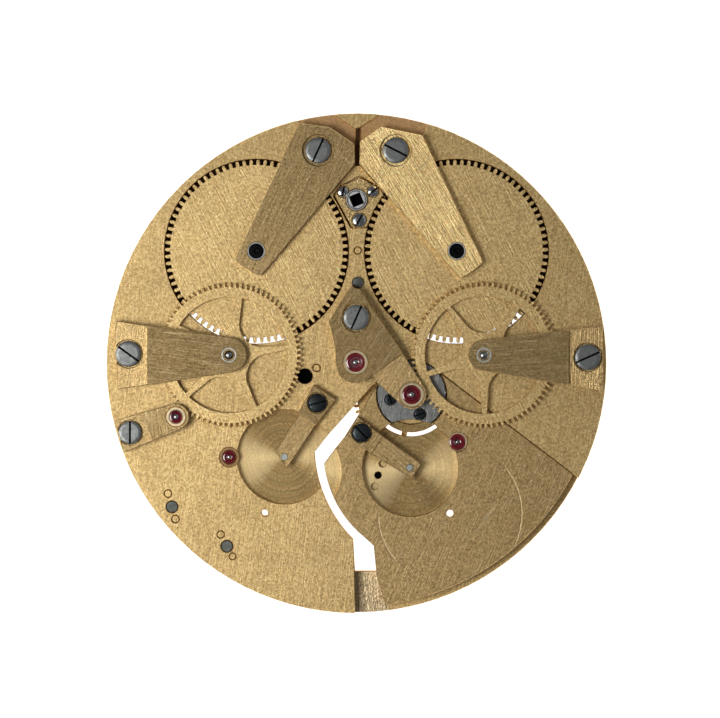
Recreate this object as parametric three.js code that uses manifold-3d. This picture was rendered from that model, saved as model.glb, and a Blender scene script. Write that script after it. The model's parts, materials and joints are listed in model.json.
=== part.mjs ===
// Pocket-watch movement with two going barrels, two gear trains and a platform that swings.
// Millimetres. X runs right and Y up across the train side, which faces +Z.
// The origin is the centre of the plate on its dial-side face, which is the plane z = 0.

import * as THREE from "three";
import { mergeVertices } from "three/addons/utils/BufferGeometryUtils.js";
import Module from "manifold-3d";

const wasm = await Module();
wasm.setup();

// ---- Driving dimensions ----------------------------------------------------------------------

const PLATE_R = 25; // the whole layout grows or shrinks with this
const LAYOUT_R = 25; // the plate radius that the positions and widths below are drawn for
const PLATE_TOP = 4.0; // everything on the train side is set out from this
const BASE_TOP = 2.2; // floor of the cavity that the platform lies in
const RUN = 0.05; // running clearance round a turning piece
const FIT = 0.02; // clearance round a seated piece
const OVERCUT = 1; // how far a cutting tool runs past a free face

const BARREL = { x: 10.0, y: 11.2 }; // the right barrel; the left one is its mirror image
const SECOND = { x: 12.7, y: 0.82 };
const CENTRE = { x: -0.1, y: 0.1 };
const THIRD_LEFT = { x: -18.0, y: -5.33 };
const THIRD_RIGHT = { x: 5.5, y: -3.12 }; // the platform turns about this arbor too
const WINDING = { x: 0, y: 16.33 };

const BARREL_TEETH = 80;
const SECOND_PINION_LEAVES = 16;
const SECOND_TEETH = 80;
const THIRD_PINION_LEAVES = 12;
const THIRD_TEETH = 60;
const CENTRE_PINION_LEAVES = 8;
const RATCHET_TEETH = 40;
const WINDING_TEETH = 18;

// heights of each layer: [underside, top]
const GREAT_WHEEL_Z = [PLATE_TOP - 0.55, PLATE_TOP + 0.2];
const DRUM_Z = [1.45, GREAT_WHEEL_Z[0]];
const RATCHET_Z = [0.85, 1.2];
const BRIDGE_Z = [0, 0.65];
const SECOND_PINION_Z = [PLATE_TOP - 0.6, PLATE_TOP + 0.5];
const SECOND_WHEEL_Z = [SECOND_PINION_Z[1], PLATE_TOP + 0.95];
const THIRD_PINION_Z = [PLATE_TOP + 0.4, PLATE_TOP + 1.05];
const THIRD_WHEEL_Z = [0.9, 1.25];
const THIRD_CAVITY_TOP = 1.5;

const DRUM_R = 8.3;
const DRUM_WALL = 0.4;
const DRUM_GAP = 0.25; // round the drum, in the base
const TOOTH_GAP = 0.09; // round the tips of the great wheel
const PIVOT_R = 0.26;
const BARREL_PIVOT_R = 0.72;
const LOWER_BARREL_PIVOT_R = 0.5;
const MAINSPRING_STRIP = 0.3;
const MAINSPRING_TURNS = 4;
const ARBOR_CORE_R = 1.8;
const LID_T = 0.2;
const RATCHET_SQUARE = 1.3;
const SECOND_SEAT_R = 0.8;
const THIRD_SEAT_R = 0.6;
const THIRD_SHAFT_R = 0.45;
const CENTRE_SHAFT_R = 0.42;
const CENTRE_PINION_Z = [0.82, 1.35];
const TIP_ROOM = 0.15; // round the tips of the smaller wheels
const SHAFT_HOLE_R = 0.75; // round the shaft of a third arbor, which runs clear through the plate
const CENTRE_HOLE_R = 0.5;
const SPOKES = 5;

const BARREL_COCK_Z = [PLATE_TOP - 0.4, PLATE_TOP + 1.4];
const BARREL_COCK_UNDERCUT = PLATE_TOP + 0.45;
const SECOND_COCK_Z = [PLATE_TOP + 1.3, PLATE_TOP + 2.2];
const SECOND_FOOT_TOP = PLATE_TOP + 1.7;
const THIRD_COCK_Z = [PLATE_TOP + 1.2, PLATE_TOP + 1.9];
const THIRD_FOOT_TOP = PLATE_TOP + 1.5;
const CENTRE_COCK_Z = [PLATE_TOP + 1.2, PLATE_TOP + 2.2];
const CENTRE_ARM_TOP = PLATE_TOP + 1.85;
const ESCAPE_COCK_ARM_TOP = PLATE_TOP + 0.7;
const ESCAPE_FOOT_TOP = PLATE_TOP + 1.1;

const LEFT_RECESS = { x: -7.22, y: -9.35, r: 4.74, floor: PLATE_TOP - 0.95 };
const RIGHT_RECESS = { x: 5.39, y: -10.52, r: 4.82, floor: PLATE_TOP - 1.02 };
const LEDGE = { x: -6.41, y: -10.85, r: 4.95 }; // swept by the left balance, on the platform
const LEFT_ESCAPE = { x: -7.22, y: -9.35, r: 0.33 };
const RIGHT_ESCAPE = { x: 5.31, y: -10.43, r: 0.36 };

const PLATFORM_R = 24.3;
const PLATFORM_FLOAT = 0.05; // under the platform
const PIVOT_CORE = { r: 2.95, top: PLATE_TOP - 1.0 };
const CAP = { r: 3.45, top: PLATE_TOP - 0.1 };
const EDGE_DISTANCE = 3.5; // from the platform's axis to the straight edge of its cavity
const EDGE_ANGLE = -37.4; // degrees
const EDGE_GAP = 0.06;
const WINDOW = { inner: 3.8, outer: 4.2, from: -128, to: -52 };

// seats in the faces of the plate and the platform
const JEWEL_SETTING = 1.0;
const CENTRE_JEWEL_R = 0.96;
const THIRD_JEWEL_R = 0.66;
const CENTRE_BOSS_R = 2.08;
const CENTRE_ARM_R = 1.46;
const LEFT_FOURTH = { x: -12.73, y: -9.38, r: 0.66 };
const RIGHT_FOURTH = { x: 10.12, y: -7.87, r: 0.68 };
const STOP_PIN = { x: 0.13, y: 8.07, r: 0.55 };
const BLIND_HOLE = { x: -5.16, y: -1.29, r: 0.63 };
const LEFT_PLAIN_HOLE = { x: -9.18, y: -14.97, r: 0.32 };
const RIGHT_PLAIN_HOLE = { x: 9.36, y: -15.01, r: 0.34 };
const RECESS_HOLE_R = 0.36;
const RECESS_HOLES = [
  { x: 2.59, y: -10.05 },
  { x: 2.15, y: -11.21 },
  { x: 1.81, y: -12.33 },
];

// ---- Geometry helpers -------------------------------------------------------------------------

const rad = (degrees) => (degrees * Math.PI) / 180;
const mirrored = (p) => ({ ...p, x: -p.x });
const distance = (a, b) => Math.hypot(a.x - b.x, a.y - b.y);
const bearing = (a, b) => Math.atan2(b.y - a.y, b.x - a.x);
const polar = (c, r, angle) => ({ x: c.x + r * Math.cos(angle), y: c.y + r * Math.sin(angle) });
const at = (x, y) => ({ x, y });

// ---- Winding work dimensions ------------------------------------------------------------------

const WINDING_PIVOT_R = 0.45;
const WINDING_NECK_R = 0.8;
const WINDING_HEAD_R = 1.07;
const WINDING_TOP = PLATE_TOP + 0.6;
const WINDING_SOCKET = 1.16;
const WINDING_PLATE_Z = [PLATE_TOP - 0.65, PLATE_TOP + 0.2];
const WINDING_FLANGE = { r: 1.4, low: PLATE_TOP - 1.2 };
const WINDING_PLATE = [at(-2.2, 16.75), at(-0.5, 13.65), at(1.0, 13.65), at(2.75, 16.75), at(2.0, 17.7),
  at(0.3, 18.6), at(-1.5, 17.7)];
const SPRING_FOOT = at(1.4, 23.1);

// a three.js geometry as a manifold solid
function solid(geometry) {
  const bare = geometry.clone();
  bare.deleteAttribute("normal");
  bare.deleteAttribute("uv");
  const merged = mergeVertices(bare, 1e-5);
  const index = merged.index.array;
  const kept = [];
  for (let i = 0; i < index.length; i += 3) {
    const [a, b, c] = [index[i], index[i + 1], index[i + 2]];
    if (a !== b && b !== c && c !== a) kept.push(a, b, c);
  }
  const mesh = new wasm.Mesh({
    numProp: 3,
    vertProperties: Float32Array.from(merged.attributes.position.array),
    triVerts: Uint32Array.from(kept),
  });
  return new wasm.Manifold(mesh);
}

// an outline of {x, y} points, with any holes, raised from z0 to z1
function prism(points, z0, z1, holes = []) {
  const vector = (p) => new THREE.Vector2(p.x, p.y);
  const shape = new THREE.Shape(points.map(vector));
  shape.holes = holes.map((hole) => new THREE.Path(hole.map(vector)));
  const geometry = new THREE.ExtrudeGeometry(shape, { depth: z1 - z0, bevelEnabled: false });
  geometry.translate(0, 0, z0);
  return solid(geometry);
}

function disc(c, r, z0, z1, segments = 32) {
  return cone(c, r, r, z0, z1, segments);
}

function cone(c, r0, r1, z0, z1, segments = 32) {
  const geometry = new THREE.CylinderGeometry(r1, r0, z1 - z0, segments);
  geometry.rotateX(Math.PI / 2);
  geometry.translate(c.x, c.y, (z0 + z1) / 2);
  return solid(geometry);
}

function box(c, width, depth, z0, z1, angle = 0) {
  const geometry = new THREE.BoxGeometry(width, depth, z1 - z0);
  geometry.rotateZ(angle);
  geometry.translate(c.x, c.y, (z0 + z1) / 2);
  return solid(geometry);
}

// a turned piece: pairs of radius and height, from the axis back to the axis
function turned(c, profile, segments = 24) {
  const points = profile.map(([r, z]) => new THREE.Vector2(r, z));
  const geometry = new THREE.LatheGeometry(points, segments);
  geometry.rotateX(Math.PI / 2);
  geometry.translate(c.x, c.y, 0);
  return solid(geometry);
}

const join = (first, ...rest) => rest.reduce((sum, piece) => sum.add(piece), first);
const cut = (first, ...tools) => tools.reduce((left, tool) => left.subtract(tool), first);

// points of the arc about c, from one angle to another, ends included
function arc(c, r, from, to, steps) {
  const angles = Array.from({ length: steps + 1 }, (_, i) => from + ((to - from) * i) / steps);
  return angles.map((angle) => polar(c, r, angle));
}

// points of the arc from a to b through m, ends included
function arcThrough(a, m, b, steps) {
  const turn = 2 * (a.x * (m.y - b.y) + m.x * (b.y - a.y) + b.x * (a.y - m.y));
  const square = (p) => p.x * p.x + p.y * p.y;
  const c = {
    x: (square(a) * (m.y - b.y) + square(m) * (b.y - a.y) + square(b) * (a.y - m.y)) / turn,
    y: (square(a) * (b.x - m.x) + square(m) * (a.x - b.x) + square(b) * (m.x - a.x)) / turn,
  };
  const from = bearing(c, a);
  const clockwise = (m.x - a.x) * (b.y - a.y) - (m.y - a.y) * (b.x - a.x) < 0;
  let to = bearing(c, b);
  if (clockwise && to > from) to -= 2 * Math.PI;
  if (!clockwise && to < from) to += 2 * Math.PI;
  return arc(c, distance(c, a), from, to, steps);
}

// a convex outline pushed outwards by a margin
function grown(points, margin) {
  const area = points.reduce((sum, p, i) => {
    const q = points[(i + 1) % points.length];
    return sum + p.x * q.y - q.x * p.y;
  }, 0);
  const out = area > 0 ? -Math.PI / 2 : Math.PI / 2;
  return points.map((p, i) => {
    const before = bearing(points.at(i - 1), p) + out;
    let after = bearing(p, points[(i + 1) % points.length]) + out;
    if (after - before > Math.PI) after -= 2 * Math.PI;
    if (before - after > Math.PI) after += 2 * Math.PI;
    return polar(p, margin / Math.cos((after - before) / 2), (before + after) / 2);
  });
}

// where the line from a touches the circle about c; side is 1 or -1
function tangentPoint(a, c, r, side) {
  return polar(c, r, bearing(c, a) + side * Math.acos(r / distance(c, a)));
}

// an arm from a straight end (corners a, b) to a round end about a pivot
function armOutline(a, b, pivot, r) {
  const first = tangentPoint(b, pivot, r, 1);
  const last = tangentPoint(a, pivot, r, -1);
  const from = bearing(pivot, first);
  let to = bearing(pivot, last);
  if (to < from) to += 2 * Math.PI;
  return [a, b, ...arc(pivot, r, from, to, 10)];
}

// a bar with two round ends
function bar(a, b, r, z0, z1) {
  const along = bearing(a, b);
  const left = arc(a, r, along + Math.PI / 2, along + 1.5 * Math.PI, 6);
  const right = arc(b, r, along - Math.PI / 2, along + Math.PI / 2, 6);
  return prism([...left, ...right], z0, z1);
}

// ---- Gears ------------------------------------------------------------------------------------

const ADDENDUM = 0.9; // of the module
const DEDENDUM = 1.9; // the gaps are deep and pointed at the root
const TIP_SHARE = 0.14; // of the pitch, the width of a tooth at its tip

const moduleOf = (a, b, teethA, teethB) => (2 * distance(a, b)) / (teethA + teethB);

// the outline of a gear with the middle of a tooth at the given angle
function gearOutline(c, teeth, module, angle) {
  const pitch = (2 * Math.PI) / teeth;
  const tip = (module * teeth) / 2 + ADDENDUM * module;
  const root = (module * teeth) / 2 - DEDENDUM * module;
  const points = [];
  for (let i = 0; i < teeth; i += 1) {
    const middle = angle + i * pitch;
    points.push(polar(c, root, middle - pitch / 2));
    points.push(polar(c, tip, middle - (TIP_SHARE * pitch) / 2));
    points.push(polar(c, tip, middle + (TIP_SHARE * pitch) / 2));
  }
  return points;
}

const tipRadius = (teeth, module) => (module * teeth) / 2 + ADDENDUM * module;

// the angle of a tooth that leaves a gap towards the gear at c
const gapTowards = (from, c, teeth) => bearing(from, c) + Math.PI / teeth;

// the angle of a tooth on the gear at c that meshes with a driver whose tooth is at driverTooth
function toothInMesh(c, teeth, driver, driverTeeth, driverTooth) {
  const lead = driverTooth - bearing(driver, c);
  return bearing(c, driver) - (lead * driverTeeth) / teeth + Math.PI / teeth;
}

// the outline of one window between two spokes; corners at the hub are round
function windowOutline(c, rim, hub, middle, half, fillet) {
  const sector = Math.PI / SPOKES;
  const outer = sector - Math.asin(half.rim / rim);
  const inner = sector - Math.asin(half.hub / hub);
  const outerArc = arc(c, rim, middle - outer, middle + outer, 5);
  const lowLeft = polar(c, hub + fillet, middle + inner + 0.12);
  const lowRight = polar(c, hub + fillet, middle - inner - 0.12);
  const bottom = arcThrough(lowLeft, polar(c, hub, middle), lowRight, 4);
  return [...outerArc, ...bottom];
}

function spokedWheel(c, teeth, module, tooth, z, bore, wheel) {
  const windows = [];
  for (let i = 0; i < SPOKES; i += 1) {
    const middle = rad(wheel.spoke) + ((i + 0.5) * 2 * Math.PI) / SPOKES;
    windows.push(windowOutline(c, wheel.rim, wheel.hub, middle, wheel.half, wheel.fillet));
  }
  const hole = arc(c, bore, 0, 2 * Math.PI, 12).slice(1);
  return prism(gearOutline(c, teeth, module, tooth), z[0], z[1], [...windows, hole]);
}

// ---- Screws -----------------------------------------------------------------------------------

const SCREW_SEGMENTS = 16;
const THREAD_SEGMENTS = 8;
const SEAT_CUT = 4; // how far the room round a head is cut, past every cock

// the end of a thread hole, a little past the tip of its screw
const threadEnd = (s) => s.z - (s.up ? -1 : 1) * (s.length + 0.1);

// a disc between two heights given in either order
const discBetween = (c, r, z0, z1, segments) => disc(c, r, Math.min(z0, z1), Math.max(z0, z1), segments);

// a slotted screw; z is where its head seats, and up is set on one that goes in from the dial side
function screw(s) {
  const way = s.up ? -1 : 1;
  const face = s.z + way * s.height;
  const floor = face - way * s.slotDepth;
  const head = discBetween(s, s.head, s.z, face, SCREW_SEGMENTS);
  const shank = discBetween(s, s.shank, s.z - way * s.length, s.z + way * 0.1, THREAD_SEGMENTS);
  const [low, high] = [Math.min(floor, face + way), Math.max(floor, face + way)];
  return cut(join(head, shank), box(s, 3 * s.head, s.slot, low, high, rad(s.angle)));
}

// the hole that a screw goes in: its thread, and room round its head
function screwHole(s) {
  const way = s.up ? -1 : 1;
  const thread = discBetween(s, s.shank + FIT, threadEnd(s), s.z + way * OVERCUT, THREAD_SEGMENTS);
  const seat = discBetween(s, s.head + s.room, s.z, s.z + way * SEAT_CUT, SCREW_SEGMENTS);
  return join(thread, seat);
}

// only the thread of a screw, for the piece that it is driven into
function threadHole(s) {
  return discBetween(s, s.shank + FIT, threadEnd(s), s.z, THREAD_SEGMENTS);
}

const BIG_SCREW = {
  head: 1.28, height: 0.55, shank: 0.6, length: 2.0, slot: 0.2, slotDepth: 0.25, room: 0.3,
};
const SMALL_SCREW = {
  head: 0.93, height: 0.45, shank: 0.4, length: 1.5, slot: 0.14, slotDepth: 0.2, room: 0.08,
};
const TINY_SCREW = {
  head: 0.54, height: 0.4, shank: 0.22, length: 1.2, slot: 0.12, slotDepth: 0.18, room: 0.06,
};
// how high each kind of screw seats on the train side
const BARREL_COCK_SEAT = PLATE_TOP + 0.95;
const SECOND_COCK_SEAT = PLATE_TOP + 1.25;
const ESCAPE_COCK_SEAT = PLATE_TOP + 0.75;
const CAP_SEAT = PLATE_TOP - 0.4;

const SCREWS = {
  left_barrel_cock_screw: { ...BIG_SCREW, x: -3.84, y: 21.24, z: BARREL_COCK_SEAT, angle: 65 },
  right_barrel_cock_screw: { ...BIG_SCREW, x: 3.9, y: 21.24, z: BARREL_COCK_SEAT, angle: -27 },
  centre_cock_screw: {
    ...BIG_SCREW, x: -0.02, y: 4.55, z: PLATE_TOP + 1.8, length: 2.6, angle: 66, room: 0.15,
  },
  left_second_cock_screw: {
    ...BIG_SCREW, x: -22.74, y: 0.94, z: SECOND_COCK_SEAT, angle: -36, room: 0.15,
  },
  right_second_cock_screw: {
    ...BIG_SCREW, x: 23.05, y: 0.6, z: SECOND_COCK_SEAT, angle: 24, room: 0.15,
  },
  left_third_cock_screw: {
    ...BIG_SCREW, head: 1.15, x: -22.58, y: -6.91, z: PLATE_TOP + 1.1, angle: 90, room: 0.1,
  },
  left_escape_cock_screw: { ...SMALL_SCREW, x: -3.9, y: -3.97, z: ESCAPE_COCK_SEAT, angle: 15 },
  right_escape_cock_screw: {
    ...SMALL_SCREW, x: 0.52, y: -6.93, z: ESCAPE_COCK_SEAT, length: 1.2, angle: -45,
  },
  winding_plate_screw_left: { ...TINY_SCREW, x: -1.35, y: 17.17, z: PLATE_TOP, angle: 75 },
  winding_plate_screw_right: { ...TINY_SCREW, x: 1.66, y: 17.19, z: PLATE_TOP, angle: 40 },
  winding_plate_screw_lower: {
    ...TINY_SCREW, head: 0.66, x: 0.28, y: 14.32, z: PLATE_TOP, angle: 60,
  },
  platform_cap_screw_lower: {
    ...TINY_SCREW, x: 6.35, y: -5.1, z: CAP_SEAT, length: 1.0, angle: 20,
  },
  platform_cap_screw_upper: {
    ...TINY_SCREW, x: 3.4, y: -3.6, z: CAP_SEAT, length: 1.0, angle: 110,
  },
  barrel_bridge_screw_upper: {
    ...SMALL_SCREW, x: 0.1, y: 22.6, z: 0.45, angle: 30, length: 1.1, up: true,
  },
  barrel_bridge_screw_lower: {
    ...SMALL_SCREW, x: 0.1, y: 8.9, z: 0.45, angle: 100, length: 1.1, up: true,
  },
  click_screw: {
    ...TINY_SCREW, x: 5.0, y: 21.0, z: 0.8, angle: 0, length: 1.0, height: 0.35, up: true,
  },
};
const hole = (name) => screwHole(SCREWS[name]);

// ---- Gear sizes, which follow from the distances between the arbors ----------------------------

const barrelAt = { left: mirrored(BARREL), right: BARREL };
const secondAt = { left: mirrored(SECOND), right: SECOND };
const thirdAt = { left: THIRD_LEFT, right: THIRD_RIGHT };
const SIDES = ["left", "right"];

const GREAT_MODULE = moduleOf(BARREL, SECOND, BARREL_TEETH, SECOND_PINION_LEAVES);
const GREAT_TIP = tipRadius(BARREL_TEETH, GREAT_MODULE);
const SECOND_PINION_TIP = tipRadius(SECOND_PINION_LEAVES, GREAT_MODULE);
const secondModule = {};
for (const side of SIDES) {
  secondModule[side] = moduleOf(secondAt[side], thirdAt[side], SECOND_TEETH, THIRD_PINION_LEAVES);
}
const THIRD_MODULE = moduleOf(THIRD_RIGHT, CENTRE, THIRD_TEETH, CENTRE_PINION_LEAVES);
const THIRD_TIP = tipRadius(THIRD_TEETH, THIRD_MODULE);
const CENTRE_PINION_TIP = tipRadius(CENTRE_PINION_LEAVES, THIRD_MODULE);
const RATCHET_MODULE = moduleOf(mirrored(BARREL), WINDING, RATCHET_TEETH, WINDING_TEETH);
const RATCHET_TIP = tipRadius(RATCHET_TEETH, RATCHET_MODULE);
const WINDING_TIP = tipRadius(WINDING_TEETH, RATCHET_MODULE);
const WINDING_TOOTH = rad(58); // under the nose of the click

// ---- Outlines of the cocks ---------------------------------------------------------------------

const BARREL_COCKS = {
  left: [
    ...arcThrough(at(-9.55, 8.73), at(-10.93, 9.42), at(-12.13, 10.33), 4),
    at(-5.67, 24.0),
    at(-2.67, 23.54),
    at(-0.2, 21.86),
    at(-0.15, 19.9),
  ],
  right: [
    at(0.28, 19.9),
    at(0.34, 22.1),
    at(2.46, 23.58),
    at(6.55, 22.74),
    ...arcThrough(at(12.62, 10.11), at(11.6, 9.2), at(10.38, 8.45), 4),
  ],
};

// the pocket of each barrel cock runs out through the rim of the plate
const COCK_POCKETS = {
  left: [at(-0.1, 19.8), at(-0.1, 23.43), at(-2.0, 24.65), at(-3.0, 26), at(-7.0, 26), at(-5.7, 23.9)],
  right: [at(0.28, 19.8), at(0.34, 23.6), at(2.1, 24.7), at(3.0, 26), at(8.0, 26), at(6.63, 22.7)],
};

const SECOND_COCK_FEET = {
  left: { outer: [at(-24.1, 4.22), at(-23.8, -2.58)], step: -20.85, r: 1.75 },
  right: { outer: [at(24.6, -2.78), at(24.55, 3.72)], step: 21.1, r: 1.55 },
};

// the slot that frees the platform: its left wall belongs to the plate, its right wall to the platform
const SLOT_LEFT_TOP = [at(1.55, -2.27), at(0.09, -3.9), at(-2.81, -7.12), at(-4.2, -8.9)];
const SLOT_LEFT_CURVE = arcThrough(at(-4.2, -8.9), at(-2.98, -13.85), at(-0.33, -17.65), 10);
const SLOT_RIGHT_TOP = [at(0.14, -5.25), at(-1.2, -7.36), at(-2.12, -8.52), at(-3.24, -10.03)];
const SLOT_RIGHT_CURVE = arcThrough(at(-3.24, -10.03), at(-2.35, -13.3), at(0.8, -17.4), 10);
const SLOT_END_Y = -20.85;
const RIM_START_X = 2.85; // where the right wall of the slot meets the platform's rim
const SLOT_RIGHT_WALL = [
  ...SLOT_RIGHT_TOP.slice(0, -1),
  ...SLOT_RIGHT_CURVE,
  at(1.72, -18.25),
  at(1.97, SLOT_END_Y),
];

// ---- Plate ------------------------------------------------------------------------------------

const edgeDirection = rad(EDGE_ANGLE);
const edgeNormal = edgeDirection + Math.PI / 2;

// a point on a line parallel to the cavity's straight edge
const onEdge = (offset, along) => polar(polar(THIRD_RIGHT, offset, edgeNormal), along, edgeDirection);

function cavityOutline() {
  const boss = arc(THIRD_RIGHT, EDGE_DISTANCE, edgeNormal, rad(150), 12);
  return [
    onEdge(EDGE_DISTANCE, 24),
    ...boss,
    ...SLOT_LEFT_TOP.slice(0, -1),
    ...SLOT_LEFT_CURVE,
    at(-0.12, -LAYOUT_R - OVERCUT),
    at(LAYOUT_R, -LAYOUT_R - OVERCUT),
  ];
}

function platformOutline() {
  const boss = arc(THIRD_RIGHT, EDGE_DISTANCE - EDGE_GAP, edgeNormal, rad(157), 12);
  const corner = onEdge(EDGE_DISTANCE - EDGE_GAP, 0);
  const across = corner.x * Math.cos(edgeNormal) + corner.y * Math.sin(edgeNormal);
  const along = corner.x * Math.cos(edgeDirection) + corner.y * Math.sin(edgeDirection);
  const reach = Math.sqrt(PLATFORM_R ** 2 - across ** 2) - along;
  const end = onEdge(EDGE_DISTANCE - EDGE_GAP, reach);
  const start = at(RIM_START_X, -Math.sqrt(PLATFORM_R ** 2 - RIM_START_X ** 2));
  const origin = at(0, 0);
  const rim = arc(origin, PLATFORM_R, bearing(origin, start), bearing(origin, end), 32);
  return [...boss, ...SLOT_RIGHT_WALL, ...rim];
}

// the part of the slot that goes on down through the base
function baseSlot() {
  const under = 0.3; // how far it runs under the platform
  const shifted = SLOT_RIGHT_WALL.map((p) => at(p.x + under, p.y));
  const left = [...SLOT_LEFT_TOP.slice(1, -1), ...SLOT_LEFT_CURVE, at(-0.15, SLOT_END_Y)];
  const outline = [...left, ...shifted.reverse()];
  return prism(outline, -OVERCUT, BASE_TOP + OVERCUT);
}

function crescent(inner, outer, from, to, z0, z1) {
  const outline = [
    ...arc(THIRD_RIGHT, outer, rad(from), rad(to), 12),
    ...arc(THIRD_RIGHT, inner, rad(to), rad(from), 12),
  ];
  return prism(outline, z0, z1);
}

// the base is open below the teeth of the great wheel where they pass the second pinion
function ledgeOpening(c, from, to) {
  const outline = [
    ...arc(c, GREAT_TIP + TOOTH_GAP, from, to, 10),
    ...arc(c, DRUM_R, to, from, 10),
  ];
  return prism(outline, -OVERCUT, BASE_TOP + OVERCUT);
}

const BRIDGE_ARM_R = 2.0;
const BRIDGE_CENTRE_R = 2.6;
const BRIDGE_SPINE_R = 1.5;
const THIRD_BAR_R = 1.4;
const BAR_GAP = 0.1; // round each bar, in the dial side of the plate
const CENTRE_BAR_END = polar(THIRD_RIGHT, 9.2, bearing(THIRD_RIGHT, CENTRE));
const RIGHT_BAR_END = polar(THIRD_RIGHT, -7.9, bearing(THIRD_RIGHT, CENTRE));
const LEFT_BAR_END = polar(THIRD_LEFT, 8.0, bearing(THIRD_LEFT, at(0, 0)));

function bridgeOutline(margin, z0, z1) {
  const top = SCREWS.barrel_bridge_screw_upper;
  const bottom = SCREWS.barrel_bridge_screw_lower;
  return join(
    bar(barrelAt.left, WINDING, BRIDGE_ARM_R + margin, z0, z1),
    bar(barrelAt.right, WINDING, BRIDGE_ARM_R + margin, z0, z1),
    bar(top, bottom, BRIDGE_SPINE_R + margin, z0, z1),
    disc(WINDING, BRIDGE_CENTRE_R + margin, z0, z1, 20),
  );
}

const CLICK_NOSE = polar(WINDING, WINDING_TIP + RUN, WINDING_TOOTH);

function mainPlate() {
  const below = -OVERCUT;
  const above = PLATE_TOP + OVERCUT;
  let plate = disc(at(0, 0), LAYOUT_R, 0, PLATE_TOP, 96);
  plate = cut(plate, prism(cavityOutline(), BASE_TOP, above), baseSlot());
  const core = disc(THIRD_RIGHT, PIVOT_CORE.r, BASE_TOP - 0.5, PIVOT_CORE.top, 32);
  plate = join(plate, core);
  for (const side of SIDES) {
    const barrel = barrelAt[side];
    const second = secondAt[side];
    const toPinion = bearing(barrel, second);
    const half = rad(33);
    plate = cut(
      plate,
      disc(barrel, GREAT_TIP + TOOTH_GAP, BASE_TOP, above, 64),
      disc(barrel, DRUM_R + DRUM_GAP, below, above, 32),
      disc(barrel, RATCHET_TIP + TOOTH_GAP, below, DRUM_Z[0], 32),
      ledgeOpening(barrel, toPinion - half, toPinion + half),
      disc(second, SECOND_PINION_TIP + TIP_ROOM, SECOND_PINION_Z[0] - 0.1, above, 16),
      disc(second, PIVOT_R + FIT, 1.2, above, 12),
      prism(grown(BARREL_COCKS[side], FIT), BARREL_COCK_Z[0], above),
      prism(COCK_POCKETS[side], BARREL_COCK_Z[0], above),
      disc(thirdAt[side], THIRD_TIP + TIP_ROOM, below, THIRD_CAVITY_TOP, 32),
      disc(thirdAt[side], SHAFT_HOLE_R, below, above, 10),
    );
  }
  plate = cut(
    plate,
    disc(LEFT_RECESS, LEFT_RECESS.r, LEFT_RECESS.floor, above, 36),
    crescent(WINDOW.inner - 0.1, WINDOW.outer + 0.1, WINDOW.from - 3, WINDOW.to + 3, 1, above),
    disc(CENTRE, CENTRE_PINION_TIP + 0.2, below, THIRD_CAVITY_TOP, 12),
    disc(CENTRE, CENTRE_HOLE_R, below, above, 10),
  );
  // the winding work: a wheel below, an arbor through, and a small plate let in above
  plate = cut(
    plate,
    disc(WINDING, WINDING_TIP + TIP_ROOM, below, RATCHET_Z[1] + 0.1, 24),
    disc(WINDING, 1.5, below, above, 16),
    prism(grown(WINDING_PLATE, 0.12), WINDING_PLATE_Z[0], above),
    clickPocket(),
    bridgeOutline(BAR_GAP, below, BRIDGE_Z[1]),
    bar(CENTRE_BAR_END, RIGHT_BAR_END, THIRD_BAR_R + BAR_GAP, below, BRIDGE_Z[1]),
    bar(THIRD_LEFT, LEFT_BAR_END, THIRD_BAR_R + BAR_GAP, below, BRIDGE_Z[1]),
  );
  // seats of jewels, pins and plain holes
  plate = cut(
    plate,
    disc(LEFT_FOURTH, JEWEL_SETTING, PLATE_TOP - 0.25, above, 16),
    disc(LEFT_FOURTH, LEFT_FOURTH.r + FIT, PLATE_TOP - 1.0, above, 14),
    disc(STOP_PIN, STOP_PIN.r + FIT, PLATE_TOP - 1.5, above, 12),
    disc(BLIND_HOLE, BLIND_HOLE.r, PLATE_TOP - 1.2, above, 12),
    disc(LEFT_PLAIN_HOLE, LEFT_PLAIN_HOLE.r, below, above, 8),
    disc(RIGHT_PLAIN_HOLE, RIGHT_PLAIN_HOLE.r + TIP_ROOM, below, above, 8),
  );
  const plateScrews = Object.keys(SCREWS).filter((name) => !name.startsWith("right_escape"));
  return cut(plate, ...plateScrews.map((name) => threadHole(SCREWS[name])));
}

// ---- Platform ----------------------------------------------------------------------------------

function platform() {
  const above = PLATE_TOP + OVERCUT;
  const floor = BASE_TOP + PLATFORM_FLOAT;
  const floorOfRecess = RIGHT_RECESS.floor;
  return cut(
    prism(platformOutline(), floor, PLATE_TOP),
    disc(THIRD_RIGHT, PIVOT_CORE.r + RUN, 0, above, 32),
    disc(THIRD_RIGHT, CAP.r + 0.1, floorOfRecess, above, 32),
    disc(RIGHT_RECESS, RIGHT_RECESS.r, floorOfRecess, above, 36),
    disc(LEDGE, LEDGE.r, LEFT_RECESS.floor, above, 36),
    crescent(WINDOW.inner, WINDOW.outer, WINDOW.from, WINDOW.to, 1, above),
    disc(RIGHT_FOURTH, JEWEL_SETTING, PLATE_TOP - 0.25, above, 16),
    disc(RIGHT_FOURTH, RIGHT_FOURTH.r + FIT, PLATE_TOP - 1.0, above, 14),
    disc(RIGHT_PLAIN_HOLE, RIGHT_PLAIN_HOLE.r, 0, above, 8),
    ...RECESS_HOLES.map((p) => disc(p, RECESS_HOLE_R, floorOfRecess - 0.4, above, 8)),
    threadHole(SCREWS.right_escape_cock_screw),
  );
}

function platformCap() {
  const above = PLATE_TOP + OVERCUT;
  return cut(
    disc(THIRD_RIGHT, CAP.r, PIVOT_CORE.top, CAP.top, 32),
    disc(THIRD_RIGHT, SHAFT_HOLE_R, 0, above, 12),
    disc(RIGHT_RECESS, RIGHT_RECESS.r + 0.1, 0, above, 36),
    hole("platform_cap_screw_lower"),
    hole("platform_cap_screw_upper"),
  );
}

// ---- Barrels -----------------------------------------------------------------------------------

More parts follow.
